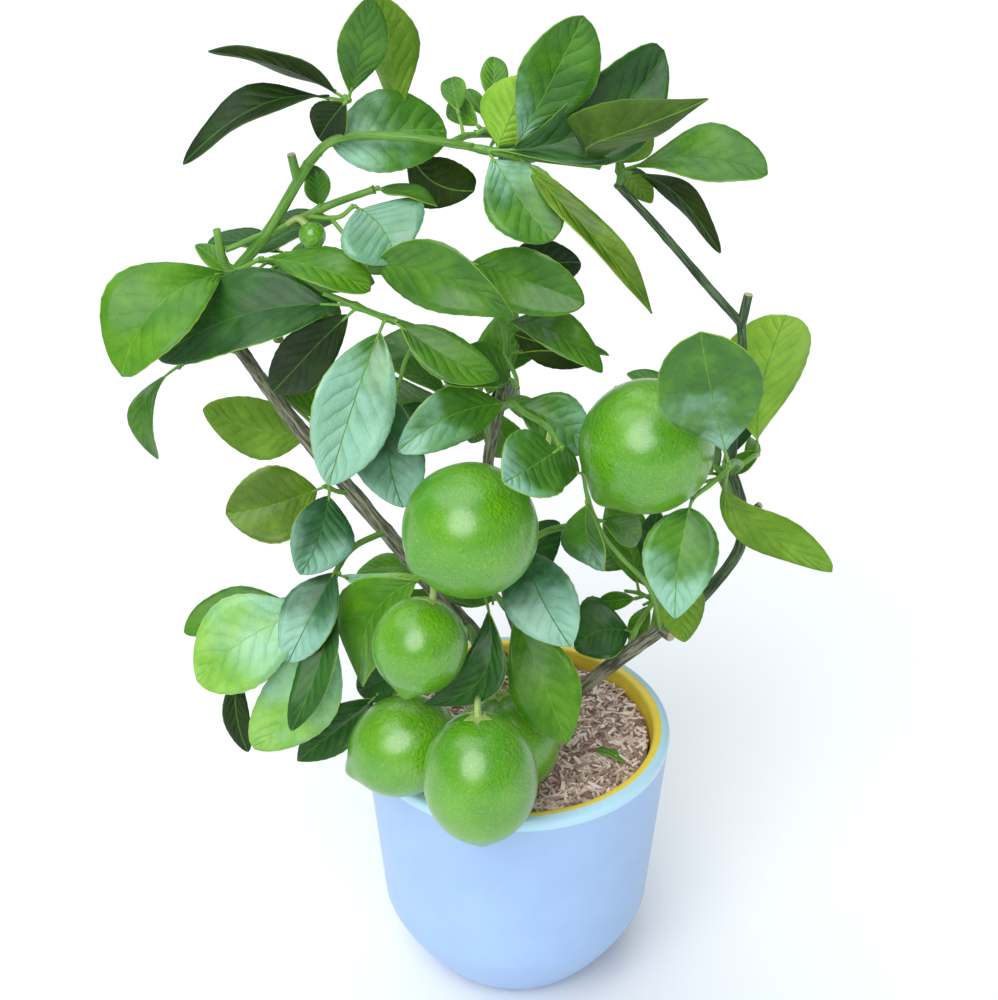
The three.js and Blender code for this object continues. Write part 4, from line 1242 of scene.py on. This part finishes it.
# %% [markdown]
# ## Pot
# The pot is cast with a straight wall that narrows downward and rounds under to a flat foot, as if a large
# ball stood behind it. Its outside is a soft matt blue, its lip a glossier ring painted paler, a painted light
# where the rim faces up, and its inside yellow. A profile spun once round the middle gives all of it, and the
# faces take their paint from where they lie.

# %% Pot profile
POT_HEIGHT = 185
RIM_RADIUS = 98
WALL_TAPER = 0.085
FOOT_RADIUS = 48
CORNER_HEIGHT = 57
CORNER_POWER = 1.52
WALL_THICKNESS = 11
FLOOR_THICKNESS = 10
INSIDE_FOOT = FLOOR_THICKNESS + 3
LIP_SQUARENESS = 0.6


def pot_radius(z):
    wall = RIM_RADIUS - (POT_HEIGHT - z) * WALL_TAPER
    if z >= CORNER_HEIGHT:
        return wall
    angle = math.asin((1 - z / CORNER_HEIGHT) ** (1 / CORNER_POWER))
    return FOOT_RADIUS + (wall - FOOT_RADIUS) * math.cos(angle) ** CORNER_POWER


def corner_height(share):
    return CORNER_HEIGHT * (1 - math.sin(math.pi / 2 * (1 - share)) ** CORNER_POWER)


outer_heights = [corner_height(step / 24) for step in range(25)] + [80, 110, 140, 165, 177]
outer = [(pot_radius(z), z) for z in outer_heights]
lip = WALL_THICKNESS / 2
rim = []
for step in range(17):
    angle = math.pi * step / 16
    aside = math.copysign(abs(math.cos(angle)) ** LIP_SQUARENESS, math.cos(angle))
    rim.append((RIM_RADIUS - lip + lip * aside, POT_HEIGHT - lip + lip * math.sin(angle) ** LIP_SQUARENESS))
inner = [(pot_radius(z) - WALL_THICKNESS, z) for z in reversed(outer_heights) if z > INSIDE_FOOT]
floor_edge = (pot_radius(INSIDE_FOOT) - WALL_THICKNESS, FLOOR_THICKNESS)
pot_profile = [(0, 0), *outer, *rim, *inner, floor_edge, (0, FLOOR_THICKNESS)]
print("points in the pot's profile:", len(pot_profile))


# %% Turn a profile
def turned(profile, sides):
    shape = bmesh.new()
    line = [shape.verts.new((radius, 0, z)) for radius, z in profile]
    edges = [shape.edges.new(pair) for pair in zip(line, line[1:])]
    bmesh.ops.spin(
        shape, geom=line + edges, cent=(0, 0, 0), axis=(0, 0, 1),
        angle=2 * math.pi, steps=sides, use_merge=True,
    )
    bmesh.ops.remove_doubles(shape, verts=shape.verts, dist=0.001)
    bmesh.ops.recalc_face_normals(shape, faces=shape.faces)
    for face in shape.faces:
        face.smooth = True
    return shape


def glaze_material(name, colour, darker, roughness, coat):
    material, tree, shader = plain_material(name, roughness, coat, 0.15)
    place = object_place(tree)
    streak = cloud(tree, place, 30, 4, 0.6)
    grain = cloud(tree, place, 900, 2, 0.5)
    mottle = smooth_mask(tree, streak, 0.35, 0.7)
    tree.links.new(mix_colours(tree, mottle, colour, darker), shader.inputs["Base Color"])
    add_bump(tree, shader, calculate(tree, "MULTIPLY_ADD", grain, 0.3, streak), 0.12, 0.0006)
    return material


BLUE_WALL = glaze_material("blue_wall", (0.38, 0.56, 0.86), (0.36, 0.535, 0.84), 0.5, 0.25)
# The lip is glossier than the wall and painted paler: painted light on the top of the rim.
PAINTED_LIT_LIP = glaze_material("painted_lit_lip", (0.5, 0.78, 0.94), (0.48, 0.76, 0.92), 0.28, 0.3)
YELLOW_INSIDE = glaze_material("yellow_inside", (0.95, 0.72, 0.06), (0.9, 0.66, 0.05), 0.35, 0.2)
LIP_BAND = 178
YELLOW_EDGE = 6.2

whole = turned(pot_profile, 96)
for face in whole.faces:
    middle = face.calc_center_median()
    radius = math.hypot(middle.x, middle.y)
    inside = radius < pot_radius(max(0, middle.z)) - YELLOW_EDGE and middle.z > FLOOR_THICKNESS - 1
    face.material_index = 2 if inside else 1 if middle.z > LIP_BAND else 0
pot = finish_piece("pot_glazed", whole, [BLUE_WALL, PAINTED_LIT_LIP, YELLOW_INSIDE], ["pot"])
print("faces of the pot:", len(pot.data.polygons))

# %% [markdown]
# ## Soil
# The pot is filled with shredded bark: reddish brown slivers that lie flat and cross each other, heaped a
# little at the wall. A bumpy disc gives the ground, and many loose slivers, each a bent flattened box of a
# few faces, lie on it with one small fallen leaf.

# %% Ground
SOIL_LEVEL_RADIUS = 45
SOIL_EDGE_RISE = 4
SOIL_WALL_TOP = 161
GAP = 0.3


def soil_height(x, y):
    radius = math.hypot(x, y)
    edge = pot_radius(SOIL_WALL_TOP) - WALL_THICKNESS
    rise = max(0, (radius - SOIL_LEVEL_RADIUS) / (edge - SOIL_LEVEL_RADIUS)) * SOIL_EDGE_RISE
    return SOIL_TOP + rise + 1.2 * noise.noise(Vector((x, y, 0)) * 0.07)


def earth_material(name, dark, light):
    material, tree, shader = plain_material(name, 0.95)
    fibre = cloud(tree, object_place(tree), 240, 5, 0.65)
    mottle = smooth_mask(tree, fibre, 0.35, 0.65)
    tree.links.new(mix_colours(tree, mottle, dark, light), shader.inputs["Base Color"])
    add_bump(tree, shader, fibre, 0.8, 0.0015)
    return material


BROWN_EARTH = earth_material("brown_earth", (0.2, 0.12, 0.1), (0.42, 0.28, 0.22))
SLIVER_MATERIALS = [
    earth_material("bark_sliver_dark", (0.4, 0.26, 0.21), (0.58, 0.41, 0.34)),
    earth_material("bark_sliver_mid", (0.64, 0.46, 0.39), (0.82, 0.65, 0.56)),
    earth_material("bark_sliver_pale", (0.85, 0.68, 0.6), (0.96, 0.86, 0.8)),
]
soil_heights = [z for z in outer_heights if INSIDE_FOOT < z < SOIL_WALL_TOP] + [SOIL_WALL_TOP]
soil_profile = [(0, FLOOR_THICKNESS + GAP)]
soil_profile += [(pot_radius(z) - WALL_THICKNESS - 2 * GAP, z) for z in soil_heights]
soil_profile += [(radius, SOIL_TOP) for radius in range(78, 0, -6)] + [(0, SOIL_TOP)]
whole = turned(soil_profile, 64)
for vertex in whole.verts:
    if vertex.co.z > SOIL_WALL_TOP - 1:
        vertex.co.z = soil_height(vertex.co.x, vertex.co.y)
finish_piece("soil_ground", whole, [BROWN_EARTH], ["soil"])
print("soil height in mm, from the middle out:", [round(soil_height(x, 0)) for x in (0, 40, 80)])

# %% Slivers of bark
SLIVERS = 2600
SLIVER_SEED = 4711
SPREAD_RADIUS = 84
SLIVER_REACH = 86
TRUNK_FOOT = (21, 10)
TRUNK_ROOM = 12

random = numbers_from(SLIVER_SEED)
whole = bmesh.new()
for count in range(SLIVERS):
    radius = SPREAD_RADIUS * math.sqrt(next(random))
    angle = 2 * math.pi * next(random)
    x, y = radius * math.cos(angle), radius * math.sin(angle)
    long = between(2.5, 11, next(random) ** 1.8)
    size = Vector((long, long * between(0.08, 0.22, next(random)) + 0.6, between(0.4, 0.9, next(random))))
    near_trunk = math.hypot(x - TRUNK_FOOT[0], y - TRUNK_FOOT[1]) < TRUNK_ROOM
    if radius + long / 2 > SLIVER_REACH or near_trunk:
        continue
    shape = bmesh.new()
    bmesh.ops.create_cube(shape, size=1)
    lengthwise = [edge for edge in shape.edges if abs(edge.verts[0].co.x - edge.verts[1].co.x) > 0.5]
    bmesh.ops.subdivide_edges(shape, edges=lengthwise, cuts=1)
    bend = between(-0.12, 0.12, next(random))
    for vertex in shape.verts:
        vertex.co.y *= 1 - 0.5 * abs(vertex.co.x)
        vertex.co = Vector((vertex.co.x * size.x, vertex.co.y * size.y, vertex.co.z * size.z))
        vertex.co.z += bend * (long / 2 - abs(vertex.co.x))
    swing = Matrix.Rotation(2 * math.pi * next(random), 3, "Z")
    tilt = Matrix.Rotation(between(-0.3, 0.3, next(random)), 3, "Y")
    bmesh.ops.rotate(shape, cent=(0, 0, 0), matrix=swing @ tilt, verts=shape.verts)
    height = soil_height(x, y) + between(0.2, 1.6, next(random))
    bmesh.ops.translate(shape, vec=(x, y, height), verts=shape.verts)
    append_shape(whole, shape, {0: int(next(random) * len(SLIVER_MATERIALS))})
slivers = finish_piece("soil_slivers", whole, SLIVER_MATERIALS, ["soil"])
print("faces of the slivers:", len(slivers.data.polygons))

# %% A fallen leaf
FALLEN_LEAF = leaf(1, 90, 35, 25, 7, 80, arch=0.1, tone="bright", tip=0.9)
FALLEN_PLACE = [(46, -12, 173), (47, -12.5, 173.3), (48, -13, 173.6)]
whole = empty_piece("leaf")
add_leaf(whole, FALLEN_PLACE, FALLEN_LEAF, *leaf_slots(FALLEN_LEAF))
finish_piece("soil_fallen_leaf", whole, LEAF_MATERIALS, ["soil"])
print("fallen leaf:", FALLEN_LEAF["long"], "mm long")
